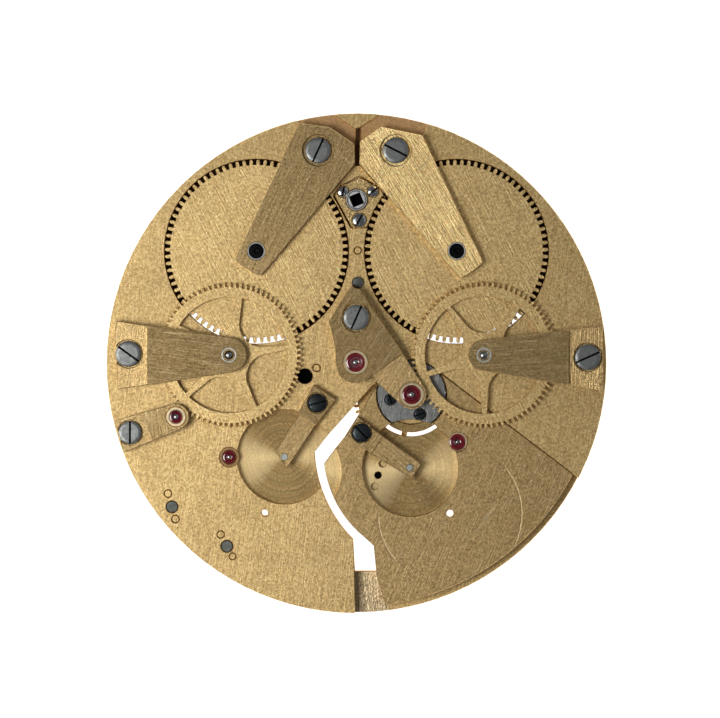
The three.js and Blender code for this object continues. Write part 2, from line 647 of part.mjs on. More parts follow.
function barrel(side) {
  const c = barrelAt[side];
  const tooth = bearing(c, secondAt[side]);
  const wheel = prism(gearOutline(c, BARREL_TEETH, GREAT_MODULE, tooth), ...GREAT_WHEEL_Z);
  const drum = disc(c, DRUM_R, DRUM_Z[0], DRUM_Z[1] + 0.1, 32);
  const room = disc(c, DRUM_R - DRUM_WALL, DRUM_Z[0] - OVERCUT, DRUM_Z[1], 32);
  const bore = disc(c, BARREL_PIVOT_R + RUN, 0, 6, 12);
  return cut(join(wheel, drum), room, bore);
}

function barrelLid(side) {
  const c = barrelAt[side];
  const lid = disc(c, DRUM_R - DRUM_WALL - FIT, DRUM_Z[0], DRUM_Z[0] + LID_T, 32);
  return cut(lid, disc(c, BARREL_PIVOT_R + RUN, 0, 6, 12));
}

// a spiral strip that lies free between the arbor and the wall of the drum
function mainspring(side) {
  const c = barrelAt[side];
  const innermost = ARBOR_CORE_R + 0.5;
  const outermost = DRUM_R - DRUM_WALL - 0.15;
  const steps = MAINSPRING_TURNS * 12;
  const line = (edge) => Array.from({ length: steps + 1 }, (_, i) => {
    const share = i / steps;
    const r = innermost + (outermost - innermost - MAINSPRING_STRIP) * share + edge;
    return polar(c, r, share * MAINSPRING_TURNS * 2 * Math.PI);
  });
  return prism([...line(MAINSPRING_STRIP), ...line(0).reverse()], DRUM_Z[0] + 0.4, DRUM_Z[1] - 0.15);
}

function barrelArbor(side) {
  const c = barrelAt[side];
  const low = RATCHET_Z[0] - 0.05;
  const shaft = turned(c, [
    [0, 0.1],
    [LOWER_BARREL_PIVOT_R, 0.1],
    [LOWER_BARREL_PIVOT_R, low],
    [BARREL_PIVOT_R, low],
    [BARREL_PIVOT_R, DRUM_Z[0] + 0.3],
    [ARBOR_CORE_R, DRUM_Z[0] + 0.3],
    [ARBOR_CORE_R, DRUM_Z[1] - 0.1],
    [BARREL_PIVOT_R, DRUM_Z[1] - 0.1],
    [BARREL_PIVOT_R, BARREL_COCK_Z[1] - 0.15],
    [0, BARREL_COCK_Z[1] - 0.15],
  ], 12);
  const square = box(c, RATCHET_SQUARE, RATCHET_SQUARE, RATCHET_Z[0] - 0.05, RATCHET_Z[1] + 0.1);
  const waist = disc(c, 2, RATCHET_Z[0] - 0.05, RATCHET_Z[1] + 0.1, 8);
  return join(cut(shaft, waist), square);
}

function ratchetWheel(side) {
  const c = barrelAt[side];
  const tooth = toothInMesh(c, RATCHET_TEETH, WINDING, WINDING_TEETH, WINDING_TOOTH);
  const size = RATCHET_SQUARE / 2 + FIT;
  const square = [at(c.x - size, c.y - size), at(c.x + size, c.y - size), at(c.x + size, c.y + size),
    at(c.x - size, c.y + size)];
  return prism(gearOutline(c, RATCHET_TEETH, RATCHET_MODULE, tooth), ...RATCHET_Z, [square]);
}

function barrelCock(side) {
  const c = barrelAt[side];
  return cut(
    prism(BARREL_COCKS[side], ...BARREL_COCK_Z),
    disc(c, GREAT_TIP + TOOTH_GAP, 0, BARREL_COCK_UNDERCUT, 40),
    disc(c, BARREL_PIVOT_R + RUN, 0, 9, 12),
    hole(`${side}_barrel_cock_screw`),
  );
}

function barrelBridge() {
  return cut(
    bridgeOutline(0, ...BRIDGE_Z),
    disc(barrelAt.left, LOWER_BARREL_PIVOT_R + RUN, -OVERCUT, OVERCUT, 12),
    disc(barrelAt.right, LOWER_BARREL_PIVOT_R + RUN, -OVERCUT, OVERCUT, 12),
    disc(WINDING, WINDING_PIVOT_R + RUN, -OVERCUT, OVERCUT, 16),
    hole("barrel_bridge_screw_upper"),
    hole("barrel_bridge_screw_lower"),
  );
}

// ---- Winding work ------------------------------------------------------------------------------

function windingArbor() {
  const top = WINDING_TOP;
  const shaft = turned(WINDING, [
    [0, 0.1],
    [WINDING_PIVOT_R, 0.1],
    [WINDING_PIVOT_R, RATCHET_Z[0] - 0.1],
    [WINDING_NECK_R, RATCHET_Z[0] - 0.1],
    [WINDING_NECK_R, WINDING_FLANGE.low],
    [WINDING_FLANGE.r, WINDING_FLANGE.low],
    [WINDING_FLANGE.r, WINDING_PLATE_Z[0] - RUN],
    [WINDING_HEAD_R, WINDING_PLATE_Z[0] - RUN],
    [WINDING_HEAD_R, top],
    [0, top],
  ], 16);
  return cut(shaft, box(WINDING, WINDING_SOCKET, WINDING_SOCKET, top - 1.2, top + OVERCUT, rad(22)));
}

function windingWheel() {
  const bore = arc(WINDING, WINDING_NECK_R + FIT, 0, 2 * Math.PI, 16).slice(1);
  return prism(gearOutline(WINDING, WINDING_TEETH, RATCHET_MODULE, WINDING_TOOTH), ...RATCHET_Z, [bore]);
}

function windingPlate() {
  return cut(
    prism(WINDING_PLATE, ...WINDING_PLATE_Z),
    disc(WINDING, WINDING_HEAD_R + RUN, 0, 6, 16),
    disc(barrelAt.left, GREAT_TIP + TOOTH_GAP, 0, 6, 40),
    disc(barrelAt.right, GREAT_TIP + TOOTH_GAP, 0, 6, 40),
    hole("winding_plate_screw_left"),
    hole("winding_plate_screw_right"),
    hole("winding_plate_screw_lower"),
  );
}

// the click is drawn with its nose on the crest of a tooth
function clickOutline(margin) {
  const post = SCREWS.click_screw;
  const tail = polar(post, 1.1, rad(60));
  return { post, tail, r: 0.62 + margin };
}

function clickPocket() {
  const { post, tail, r } = clickOutline(0.25);
  const top = RATCHET_Z[1] + 0.1;
  return join(
    bar(CLICK_NOSE, post, r + 0.2, -OVERCUT, top),
    bar(post, tail, r, -OVERCUT, top),
    bar(SPRING_FOOT, at(tail.x + 0.1, tail.y + 0.35), 0.45, -OVERCUT, top),
  );
}

function click() {
  const { post, tail, r } = clickOutline(0);
  const nose = CLICK_NOSE;
  const along = bearing(post, nose);
  const outline = [
    polar(nose, 0.05, along),
    polar(post, r, along + Math.PI / 2),
    ...arc(post, r, along + Math.PI / 2 + 0.3, along + 1.5 * Math.PI - 0.3, 8),
    polar(post, r, along + 1.5 * Math.PI),
  ];
  const body = join(prism(outline, ...RATCHET_Z), bar(post, tail, 0.32, ...RATCHET_Z));
  return cut(body, disc(post, post.shank + RUN, 0, 2, THREAD_SEGMENTS));
}

function clickSpring() {
  const { tail } = clickOutline(0);
  const end = at(tail.x - 0.35, tail.y + 0.52);
  return join(
    bar(SPRING_FOOT, end, 0.1, RATCHET_Z[0], RATCHET_Z[1]),
    disc(SPRING_FOOT, 0.4, RATCHET_Z[0], RATCHET_Z[1] + 0.1, 12),
  );
}

// ---- Second wheels -----------------------------------------------------------------------------

function secondWheel(side) {
  const c = secondAt[side];
  const module = secondModule[side];
  const pitch = (module * SECOND_TEETH) / 2;
  const wheel = {
    rim: pitch - 1.28,
    hub: 2.3,
    half: { rim: 0.26, hub: 0.5 },
    fillet: 0.9,
    spoke: side === "left" ? 79.6 : 126.8,
  };
  const tooth = bearing(c, thirdAt[side]);
  return spokedWheel(c, SECOND_TEETH, module, tooth, SECOND_WHEEL_Z, SECOND_SEAT_R, wheel);
}

function secondArbor(side) {
  const c = secondAt[side];
  const tooth = gapTowards(c, barrelAt[side], SECOND_PINION_LEAVES);
  const pinion = prism(gearOutline(c, SECOND_PINION_LEAVES, GREAT_MODULE, tooth), ...SECOND_PINION_Z);
  const shaft = turned(c, [
    [0, 1.3],
    [PIVOT_R, 1.3],
    [PIVOT_R, SECOND_PINION_Z[0] + 0.1],
    [SECOND_SEAT_R - FIT, SECOND_PINION_Z[0] + 0.1],
    [SECOND_SEAT_R - FIT, SECOND_WHEEL_Z[1] + 0.1],
    [PIVOT_R + 0.1, SECOND_WHEEL_Z[1] + 0.1],
    [PIVOT_R + 0.1, SECOND_COCK_Z[1] - 0.1],
    [0, SECOND_COCK_Z[1] - 0.1],
  ], 12);
  return join(pinion, shaft);
}

function secondCock(side) {
  const foot = SECOND_COCK_FEET[side];
  const [a, b] = foot.outer;
  const outline = armOutline(a, b, secondAt[side], foot.r);
  const whole = prism(outline, PLATE_TOP, SECOND_COCK_Z[1]);
  const middle = (foot.step + a.x) / 2;
  const width = Math.abs(foot.step - a.x);
  const inward = Math.sign(-a.x) * 15;
  return cut(
    whole,
    box(at(foot.step + inward, 0), 30, 20, 0, SECOND_COCK_Z[0]),
    box(at(middle - inward / 30, 0), width + 1, 20, SECOND_FOOT_TOP, 9),
    disc(secondAt[side], PIVOT_R + 0.1 + RUN, 0, 9, 12),
    hole(`${side}_second_cock_screw`),
  );
}

// ---- Third wheels ------------------------------------------------------------------------------

function thirdWheel(side) {
  const c = thirdAt[side];
  const half = { rim: 0.25, hub: 0.4 };
  const wheel = { rim: THIRD_TIP - 0.95, hub: 1.6, half, fillet: 0.6, spoke: -100 };
  const tooth = bearing(c, CENTRE);
  return spokedWheel(c, THIRD_TEETH, THIRD_MODULE, tooth, THIRD_WHEEL_Z, THIRD_SEAT_R, wheel);
}

function thirdArbor(side) {
  const c = thirdAt[side];
  const tooth = gapTowards(c, secondAt[side], THIRD_PINION_LEAVES);
  const outline = gearOutline(c, THIRD_PINION_LEAVES, secondModule[side], tooth);
  const shaft = turned(c, [
    [0, 0.1],
    [PIVOT_R, 0.1],
    [PIVOT_R, THIRD_WHEEL_Z[0] - 0.1],
    [THIRD_SEAT_R - FIT, THIRD_WHEEL_Z[0] - 0.1],
    [THIRD_SEAT_R - FIT, THIRD_WHEEL_Z[1] + 0.1],
    [THIRD_SHAFT_R, THIRD_WHEEL_Z[1] + 0.1],
    [THIRD_SHAFT_R, THIRD_PINION_Z[1]],
    [PIVOT_R, THIRD_PINION_Z[1]],
    [PIVOT_R, THIRD_COCK_Z[1] - 0.15],
    [0, THIRD_COCK_Z[1] - 0.15],
  ], 12);
  return join(shaft, prism(outline, ...THIRD_PINION_Z));
}

function leftThirdCock() {
  const [a, b] = [at(-24.15, -5.72), at(-23.2, -8.87)];
  const outline = armOutline(a, b, THIRD_LEFT, 1.32);
  const along = bearing(polar(a, distance(a, b) / 2, bearing(a, b)), THIRD_LEFT);
  const stepLine = at(-20.75, -6.37);
  return cut(
    prism(outline, PLATE_TOP, THIRD_COCK_Z[1]),
    box(polar(stepLine, 5, along), 10, 8, 0, THIRD_COCK_Z[0], along),
    box(polar(stepLine, -5, along), 10, 8, THIRD_FOOT_TOP, 9, along),
    disc(THIRD_LEFT, THIRD_JEWEL_R + FIT, 0, 9, 14),
    hole("left_third_cock_screw"),
  );
}

function thirdBar(from, to, pivots) {
  const plain = bar(from, to, THIRD_BAR_R, ...BRIDGE_Z);
  return cut(plain, ...pivots.map((p) => disc(p, PIVOT_R + FIT, -OVERCUT, OVERCUT, 12)));
}

// ---- Centre cock -------------------------------------------------------------------------------

function centreCock() {
  const body = [
    at(-0.36, 8.03),
    at(-2.75, 4.2),
    at(-2.13, 1.68),
    at(-2.02, -0.25),
    ...arc(CENTRE, CENTRE_BOSS_R, rad(-140), rad(-42), 10),
    at(4.6, 1.0),
    at(0.33, 7.35),
  ];
  const arm = [
    at(4.6, 1.0),
    at(1.4, 1.2),
    at(1.55, -1.2),
    at(2.19, -2.05),
    at(4.42, -4.1),
    ...arc(THIRD_RIGHT, CENTRE_ARM_R, rad(-130), rad(25), 8),
  ];
  const above = 9;
  return cut(
    join(prism(body, PLATE_TOP, CENTRE_COCK_Z[1]), prism(arm, CENTRE_COCK_Z[0], CENTRE_ARM_TOP)),
    disc(CENTRE, CENTRE_HOLE_R, 0, above, 12),
    disc(CENTRE, CENTRE_JEWEL_R + FIT, CENTRE_COCK_Z[1] - 0.9, above, 14),
    disc(THIRD_RIGHT, CENTRE_JEWEL_R + FIT, 0, above, 14),
    disc(STOP_PIN, STOP_PIN.r + 0.1, 0, above, 12),
    hole("centre_cock_screw"),
  );
}

function centreArbor() {
  const tooth = gapTowards(CENTRE, THIRD_RIGHT, CENTRE_PINION_LEAVES);
  const outline = gearOutline(CENTRE, CENTRE_PINION_LEAVES, THIRD_MODULE, tooth);
  const shaft = turned(CENTRE, [
    [0, 0.1],
    [PIVOT_R, 0.1],
    [PIVOT_R, 0.8],
    [CENTRE_SHAFT_R, 0.8],
    [CENTRE_SHAFT_R, CENTRE_COCK_Z[1] - 1.0],
    [PIVOT_R, CENTRE_COCK_Z[1] - 1.0],
    [PIVOT_R, CENTRE_COCK_Z[1] - 0.2],
    [0, CENTRE_COCK_Z[1] - 0.2],
  ], 12);
  return join(shaft, prism(outline, ...CENTRE_PINION_Z));
}

// a pierced jewel with an oil sink turned in its upper face
function jewel(c, r, z0, z1) {
  return cut(
    disc(c, r, z0, z1, 14),
    disc(c, PIVOT_R + FIT, z0 - OVERCUT, z1 + OVERCUT, 12),
    cone(c, 0, 1.6 * r, z1 - 0.55 * r, z1 + 0.45 * r, 12),
  );
}

// ---- Escape cocks ------------------------------------------------------------------------------

const ESCAPE_COCKS = {
  left: {
    foot: [at(-4.28, -2.12), at(-2.05, -3.55), at(-4.1, -6.25), at(-5.85, -4.95)],
    arm: [at(-5.42, -4.7), at(-4.1, -6.1), at(-6.9, -10.37), at(-8.1, -8.83)],
    pivot: LEFT_ESCAPE,
  },
  right: {
    foot: [at(0.14, -5.32), at(2.64, -7.24), at(1.48, -8.94), at(-1.11, -7.33)],
    arm: [at(2.2, -6.95), at(6.43, -10.0), at(5.45, -11.53), at(1.0, -8.65)],
    pivot: RIGHT_ESCAPE,
  },
};

function escapeCock(side) {
  const cock = ESCAPE_COCKS[side];
  return cut(
    join(prism(cock.foot, PLATE_TOP, ESCAPE_FOOT_TOP), prism(cock.arm, PLATE_TOP, ESCAPE_COCK_ARM_TOP)),
    disc(cock.pivot, cock.pivot.r, 0, 9, 12),
    hole(`${side}_escape_cock_screw`),
  );
}

// ---- Materials ---------------------------------------------------------------------------------

function metal(color, roughness) {
  return new THREE.MeshStandardMaterial({ color, roughness, metalness: 1 });
}
const MATERIALS = {
  plate: metal(0xcfae76, 0.45),
  platform: metal(0xc4a26a, 0.45),
  wheel: metal(0xd2b27a, 0.4),
  cock: metal(0xb89a63, 0.35),
  steel: metal(0x8f8f8b, 0.3),
  blued: metal(0x3a4046, 0.3),
  spring: metal(0x6d7178, 0.35),
  ruby: new THREE.MeshStandardMaterial({ color: 0x8e1420, roughness: 0.1, metalness: 0 }),
};

// ---- Assembly ----------------------------------------------------------------------------------

const movement = new THREE.Group();

function add(name, manifold, material) {
  const { vertProperties, triVerts } = manifold.getMesh();
  const geometry = new THREE.BufferGeometry();
  geometry.setAttribute("position", new THREE.BufferAttribute(Float32Array.from(vertProperties), 3));
  geometry.setIndex(new THREE.BufferAttribute(Uint32Array.from(triVerts), 1));
  geometry.scale(PLATE_R / LAYOUT_R, PLATE_R / LAYOUT_R, 1);
  geometry.computeVertexNormals();
  const mesh = new THREE.Mesh(geometry, material.clone());
  mesh.name = name;
  movement.add(mesh);
}

add("main_plate", mainPlate(), MATERIALS.plate);
add("platform", platform(), MATERIALS.platform);
add("platform_cap", platformCap(), MATERIALS.steel);
add("barrel_bridge", barrelBridge(), MATERIALS.cock);

for (const side of SIDES) {
  add(`${side}_barrel`, barrel(side), MATERIALS.wheel);
  add(`${side}_barrel_lid`, barrelLid(side), MATERIALS.wheel);
  add(`${side}_mainspring`, mainspring(side), MATERIALS.spring);
  add(`${side}_barrel_arbor`, barrelArbor(side), MATERIALS.steel);
  add(`${side}_ratchet_wheel`, ratchetWheel(side), MATERIALS.steel);
  add(`${side}_barrel_cock`, barrelCock(side), MATERIALS.cock);
  add(`${side}_second_wheel`, secondWheel(side), MATERIALS.wheel);
  add(`${side}_second_arbor`, secondArbor(side), MATERIALS.steel);
  add(`${side}_second_cock`, secondCock(side), MATERIALS.cock);
  add(`${side}_third_wheel`, thirdWheel(side), MATERIALS.wheel);
  add(`${side}_third_arbor`, thirdArbor(side), MATERIALS.steel);
  add(`${side}_escape_cock`, escapeCock(side), MATERIALS.cock);
}

add("left_third_cock", leftThirdCock(), MATERIALS.cock);
add("left_third_bar", thirdBar(THIRD_LEFT, LEFT_BAR_END, [THIRD_LEFT]), MATERIALS.cock);
add("right_third_bar", thirdBar(CENTRE_BAR_END, RIGHT_BAR_END, [THIRD_RIGHT, CENTRE]), MATERIALS.cock);
add("centre_cock", centreCock(), MATERIALS.cock);
add("centre_arbor", centreArbor(), MATERIALS.steel);

add("winding_arbor", windingArbor(), MATERIALS.steel);
add("winding_wheel", windingWheel(), MATERIALS.steel);
add("winding_plate", windingPlate(), MATERIALS.cock);
add("click", click(), MATERIALS.steel);
add("click_spring", clickSpring(), MATERIALS.spring);

const JEWELS = {
  centre_jewel: [CENTRE, CENTRE_JEWEL_R, CENTRE_COCK_Z[1] - 0.88, CENTRE_COCK_Z[1] - 0.05],
  right_third_jewel: [THIRD_RIGHT, CENTRE_JEWEL_R, CENTRE_COCK_Z[0], CENTRE_ARM_TOP - 0.05],
  left_third_jewel: [THIRD_LEFT, THIRD_JEWEL_R, THIRD_COCK_Z[0], THIRD_COCK_Z[1] - 0.05],
  left_fourth_jewel: [LEFT_FOURTH, LEFT_FOURTH.r, PLATE_TOP - 0.98, PLATE_TOP - 0.2],
  right_fourth_jewel: [RIGHT_FOURTH, RIGHT_FOURTH.r, PLATE_TOP - 0.98, PLATE_TOP - 0.2],
};
for (const [name, sizes] of Object.entries(JEWELS)) {
  add(name, jewel(...sizes), MATERIALS.ruby);
}
add("stop_pin", disc(STOP_PIN, STOP_PIN.r, PLATE_TOP - 1.45, PLATE_TOP + 0.5, 12), MATERIALS.steel);

for (const [name, s] of Object.entries(SCREWS)) {
  const blued = name.includes("escape") || name.includes("cap");
  add(name, screw(s), blued ? MATERIALS.blued : MATERIALS.steel);
}

export default movement;
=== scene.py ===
# %% [markdown]
# # A watch movement with two trains
# Each cell below makes one piece, or one finish, of a pocket-watch movement seen from its train side.
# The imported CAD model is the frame: it says where every axis, layer and edge is, and nothing here
# moves it. Plates and cocks start from a copy of their CAD solid, which already has the exact outline,
# and get their broken edges here. Wheels, pinions, screws and jewels are made new, because their fine
# shape is finer than the CAD holds.

# %% Set-up
import json
import math
import bpy
import bmesh
from mathutils import Matrix, Vector


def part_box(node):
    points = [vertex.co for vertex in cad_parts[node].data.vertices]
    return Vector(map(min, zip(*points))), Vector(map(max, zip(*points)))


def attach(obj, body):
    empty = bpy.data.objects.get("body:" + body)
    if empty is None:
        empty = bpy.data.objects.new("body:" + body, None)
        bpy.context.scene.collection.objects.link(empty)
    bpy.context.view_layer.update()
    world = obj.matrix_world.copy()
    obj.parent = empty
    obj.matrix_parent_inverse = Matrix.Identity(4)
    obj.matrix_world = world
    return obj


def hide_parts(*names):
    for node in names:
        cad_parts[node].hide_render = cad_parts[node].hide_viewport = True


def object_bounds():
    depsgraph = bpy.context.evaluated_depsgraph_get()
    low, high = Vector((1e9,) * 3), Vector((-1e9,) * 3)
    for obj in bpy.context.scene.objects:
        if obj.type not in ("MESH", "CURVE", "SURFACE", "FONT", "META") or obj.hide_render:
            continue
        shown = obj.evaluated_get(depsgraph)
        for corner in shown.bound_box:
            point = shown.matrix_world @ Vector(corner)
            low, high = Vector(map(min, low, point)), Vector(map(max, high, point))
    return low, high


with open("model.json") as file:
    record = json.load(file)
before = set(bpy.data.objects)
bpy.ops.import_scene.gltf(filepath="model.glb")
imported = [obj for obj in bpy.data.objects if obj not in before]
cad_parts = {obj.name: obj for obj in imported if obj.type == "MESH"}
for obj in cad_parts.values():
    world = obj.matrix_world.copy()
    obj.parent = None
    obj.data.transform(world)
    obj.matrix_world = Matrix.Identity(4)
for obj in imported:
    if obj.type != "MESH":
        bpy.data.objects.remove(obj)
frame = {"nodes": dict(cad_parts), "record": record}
CAD_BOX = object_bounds()
RECORD = frame["record"]
MM = 0.001
print("movement", [round((b - a) / MM, 2) for a, b in zip(*CAD_BOX)], "mm")

# %% [markdown]
# ## Where things are
# Every turning piece has a joint in the record, so its axis is read from there. Heights and the places
# of screws and jewels come from the boxes of the CAD nodes. All of these are given in millimetres, the
# unit a watchmaker works in, and each finished mesh is scaled to metres once.

# %% Axes and heights
BODY_OF = {node: body for body, nodes in RECORD["behaviour"]["bodies"].items() for node in nodes}


def axis(joint_name):
    joint = next(j for j in RECORD["behaviour"]["joints"] if j["name"] == joint_name)
    return Vector(joint["pos_m"]).to_2d() / MM


def span(node):
    low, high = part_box(node)
    return low[2] / MM, high[2] / MM


def middle(node):
    low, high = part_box(node)
    return Vector(((low[0] + high[0]) / 2, (low[1] + high[1]) / 2)) / MM


def bearing(a, b):
    return math.atan2(b[1] - a[1], b[0] - a[0])


def polar(c, r, angle):
    return Vector((c[0] + r * math.cos(angle), c[1] + r * math.sin(angle)))


SIDES = ("left", "right")
BARREL = {side: axis(f"{side}_barrel_spin") for side in SIDES}
SECOND = {side: axis(f"{side}_second_spin") for side in SIDES}
THIRD = {side: axis(f"{side}_third_spin") for side in SIDES}
CENTRE = axis("centre_arbor_spin")
WINDING = axis("winding_spin")
PLATE_TOP = span("main_plate")[1]
PLATE_R = (CAD_BOX[1][0] - CAD_BOX[0][0]) / 2 / MM
print("plate radius", round(PLATE_R, 2), "top at", round(PLATE_TOP, 2))

# %% [markdown]
# ## Turning a bmesh into a piece
# A bmesh is built in millimetres with operators, then this helper scales it, gives it smooth shading
# with sharp corners, rides it on the body of the CAD node that it stands for, and gives it its finish.

# %% Piece helper
CORNER = math.radians(32)


def piece(name, bm, finish, node=None, body=None, slot=None, corner=CORNER):
    bmesh.ops.scale(bm, vec=(MM, MM, MM), verts=bm.verts)
    mesh = bpy.data.meshes.new(name)
    bm.to_mesh(mesh)
    bm.free()
    while mesh.attributes.get("custom_normal"):
        mesh.attributes.remove(mesh.attributes["custom_normal"])
    mesh.shade_smooth()
    for face_made in mesh.polygons:
        face_made.use_smooth = abs(face_made.normal.z) < 0.985
    mesh.set_sharp_from_angle(angle=corner)
    mesh.materials.append(finish)
    made = bpy.data.objects.new(name, mesh)
    bpy.context.scene.collection.objects.link(made)
    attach(made, body or BODY_OF[node])
    if node:
        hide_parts(node)
        slots = {s["node"]: s["material_slot"] for s in RECORD["subparts"]}
        slot = slot or slots[node]
    return made


def refinish(made, finish, chosen):
    """Gives another finish to the faces that a test of their middle and normal picks."""
    made.data.materials.append(finish)
    for face_made in made.data.polygons:
        if chosen(face_made.center / MM, face_made.normal):
            face_made.material_index = len(made.data.materials) - 1
    return made


def near(mid, centre, r):
    return (mid.to_2d() - Vector(centre)).length < r


def carve(bm, *tools):
    """Cuts closed bmesh tools out of a bmesh with the exact boolean, and returns the result."""
    whole = bpy.data.objects.new("whole", bpy.data.meshes.new("whole"))
    bm.to_mesh(whole.data)
    bm.free()
    bpy.context.scene.collection.objects.link(whole)
    for tool_bm in tools:
        tool = bpy.data.objects.new("tool", bpy.data.meshes.new("tool"))
        tool_bm.to_mesh(tool.data)
        tool_bm.free()
        bpy.context.scene.collection.objects.link(tool)
        cut = whole.modifiers.new("cut", "BOOLEAN")
        cut.object = tool
        cut.operation = "DIFFERENCE"
        cut.solver = "EXACT"
        result = bpy.data.meshes.new_from_object(whole.evaluated_get(bpy.context.evaluated_depsgraph_get()))
        whole.modifiers.clear()
        whole.data = result
        bpy.data.objects.remove(tool)
    carved = bmesh.new()
    carved.from_mesh(whole.data)
    bpy.data.objects.remove(whole)
    return carved


# %% [markdown]
# ## Finishes
# The brass is not polished: it has the fine even grain of stoned and matted metal, with a slow drift
# in colour where it has been handled. One recipe makes every brass here. Noise in millimetres gives
# the grain, a slower noise gives the drift, and long stretched noise gives stray scratches.

# %% Node helpers
def new_finish(name):
    made = bpy.data.materials.new(name)
    made.use_nodes = True
    tree = made.node_tree
    tree.nodes.clear()
    out = tree.nodes.new("ShaderNodeOutputMaterial")
    shader = tree.nodes.new("ShaderNodeBsdfPrincipled")
    tree.links.new(shader.outputs[0], out.inputs[0])
    return made, tree, shader


def add_node(tree, kind, inputs=(), **settings):
    made = tree.nodes.new("ShaderNode" + kind)
    for key, value in settings.items():
        setattr(made, key, value)
    for key, value in dict(inputs).items():
        if isinstance(value, bpy.types.NodeSocket):
            tree.links.new(value, made.inputs[key])
        else:
            made.inputs[key].default_value = value
    return made


def millimetres(tree, centre=(0, 0), angle=0.0, stretch=(1, 1, 1)):
    """Object coordinates in millimetres, moved to a centre, turned, then stretched."""
    place = add_node(tree, "TexCoord").outputs["Object"]
    moved = add_node(tree, "Mapping", {"Vector": place, "Location": (-centre[0], -centre[1], 0),
                                       "Scale": (1000, 1000, 1000)}, vector_type="POINT").outputs[0]
    turned = add_node(tree, "Mapping", {"Vector": moved, "Rotation": (0, 0, -angle)}).outputs[0]
    return add_node(tree, "Mapping", {"Vector": turned, "Scale": stretch}).outputs[0]


def noise(tree, vector, scale, detail=2.0, rough=0.5):
    return add_node(tree, "TexNoise", {"Vector": vector, "Scale": scale, "Detail": detail,
                                       "Roughness": rough}).outputs["Fac"]


def spread(tree, value, low, high, to_low=0.0, to_high=1.0):
    return add_node(tree, "MapRange", {"Value": value, "From Min": low, "From Max": high,
                                       "To Min": to_low, "To Max": to_high}, clamp=True).outputs[0]


def mixed(tree, factor, a, b, blend="MIX"):
    made = add_node(tree, "Mix", data_type="RGBA", blend_type=blend)
    for socket, value in ((made.inputs[0], factor), (made.inputs[6], a), (made.inputs[7], b)):
        if isinstance(value, bpy.types.NodeSocket):
            tree.links.new(value, socket)
        else:
            socket.default_value = value
    return made.outputs[2]


def maths(tree, kind, a, b=0.0):
    return add_node(tree, "Math", {0: a, 1: b}, operation=kind).outputs[0]


def bumped(tree, height, strength, depth, under=None):
    """A bump whose depth is in millimetres."""
    made = add_node(tree, "Bump", {"Height": height, "Strength": strength, "Distance": depth * MM})
    if under is not None:
        tree.links.new(under, made.inputs["Normal"])
    return made.outputs[0]


def colour(r, g, b):
    return (r, g, b, 1.0)


# %% [markdown]
# The plate's matt grain is isotropic. Cocks were drawn along a file or emery stick, so their grain is
# stretched along their length. Turned recesses have rings about their own centre. The same function
# makes all three: it is told the direction of the brushing, or the centres of the turned rings.

# %% Brass
BRASS = colour(0.83, 0.56, 0.235)


def dimmed(c, share):
    return colour(c[0] * share, c[1] * share, c[2] * share)


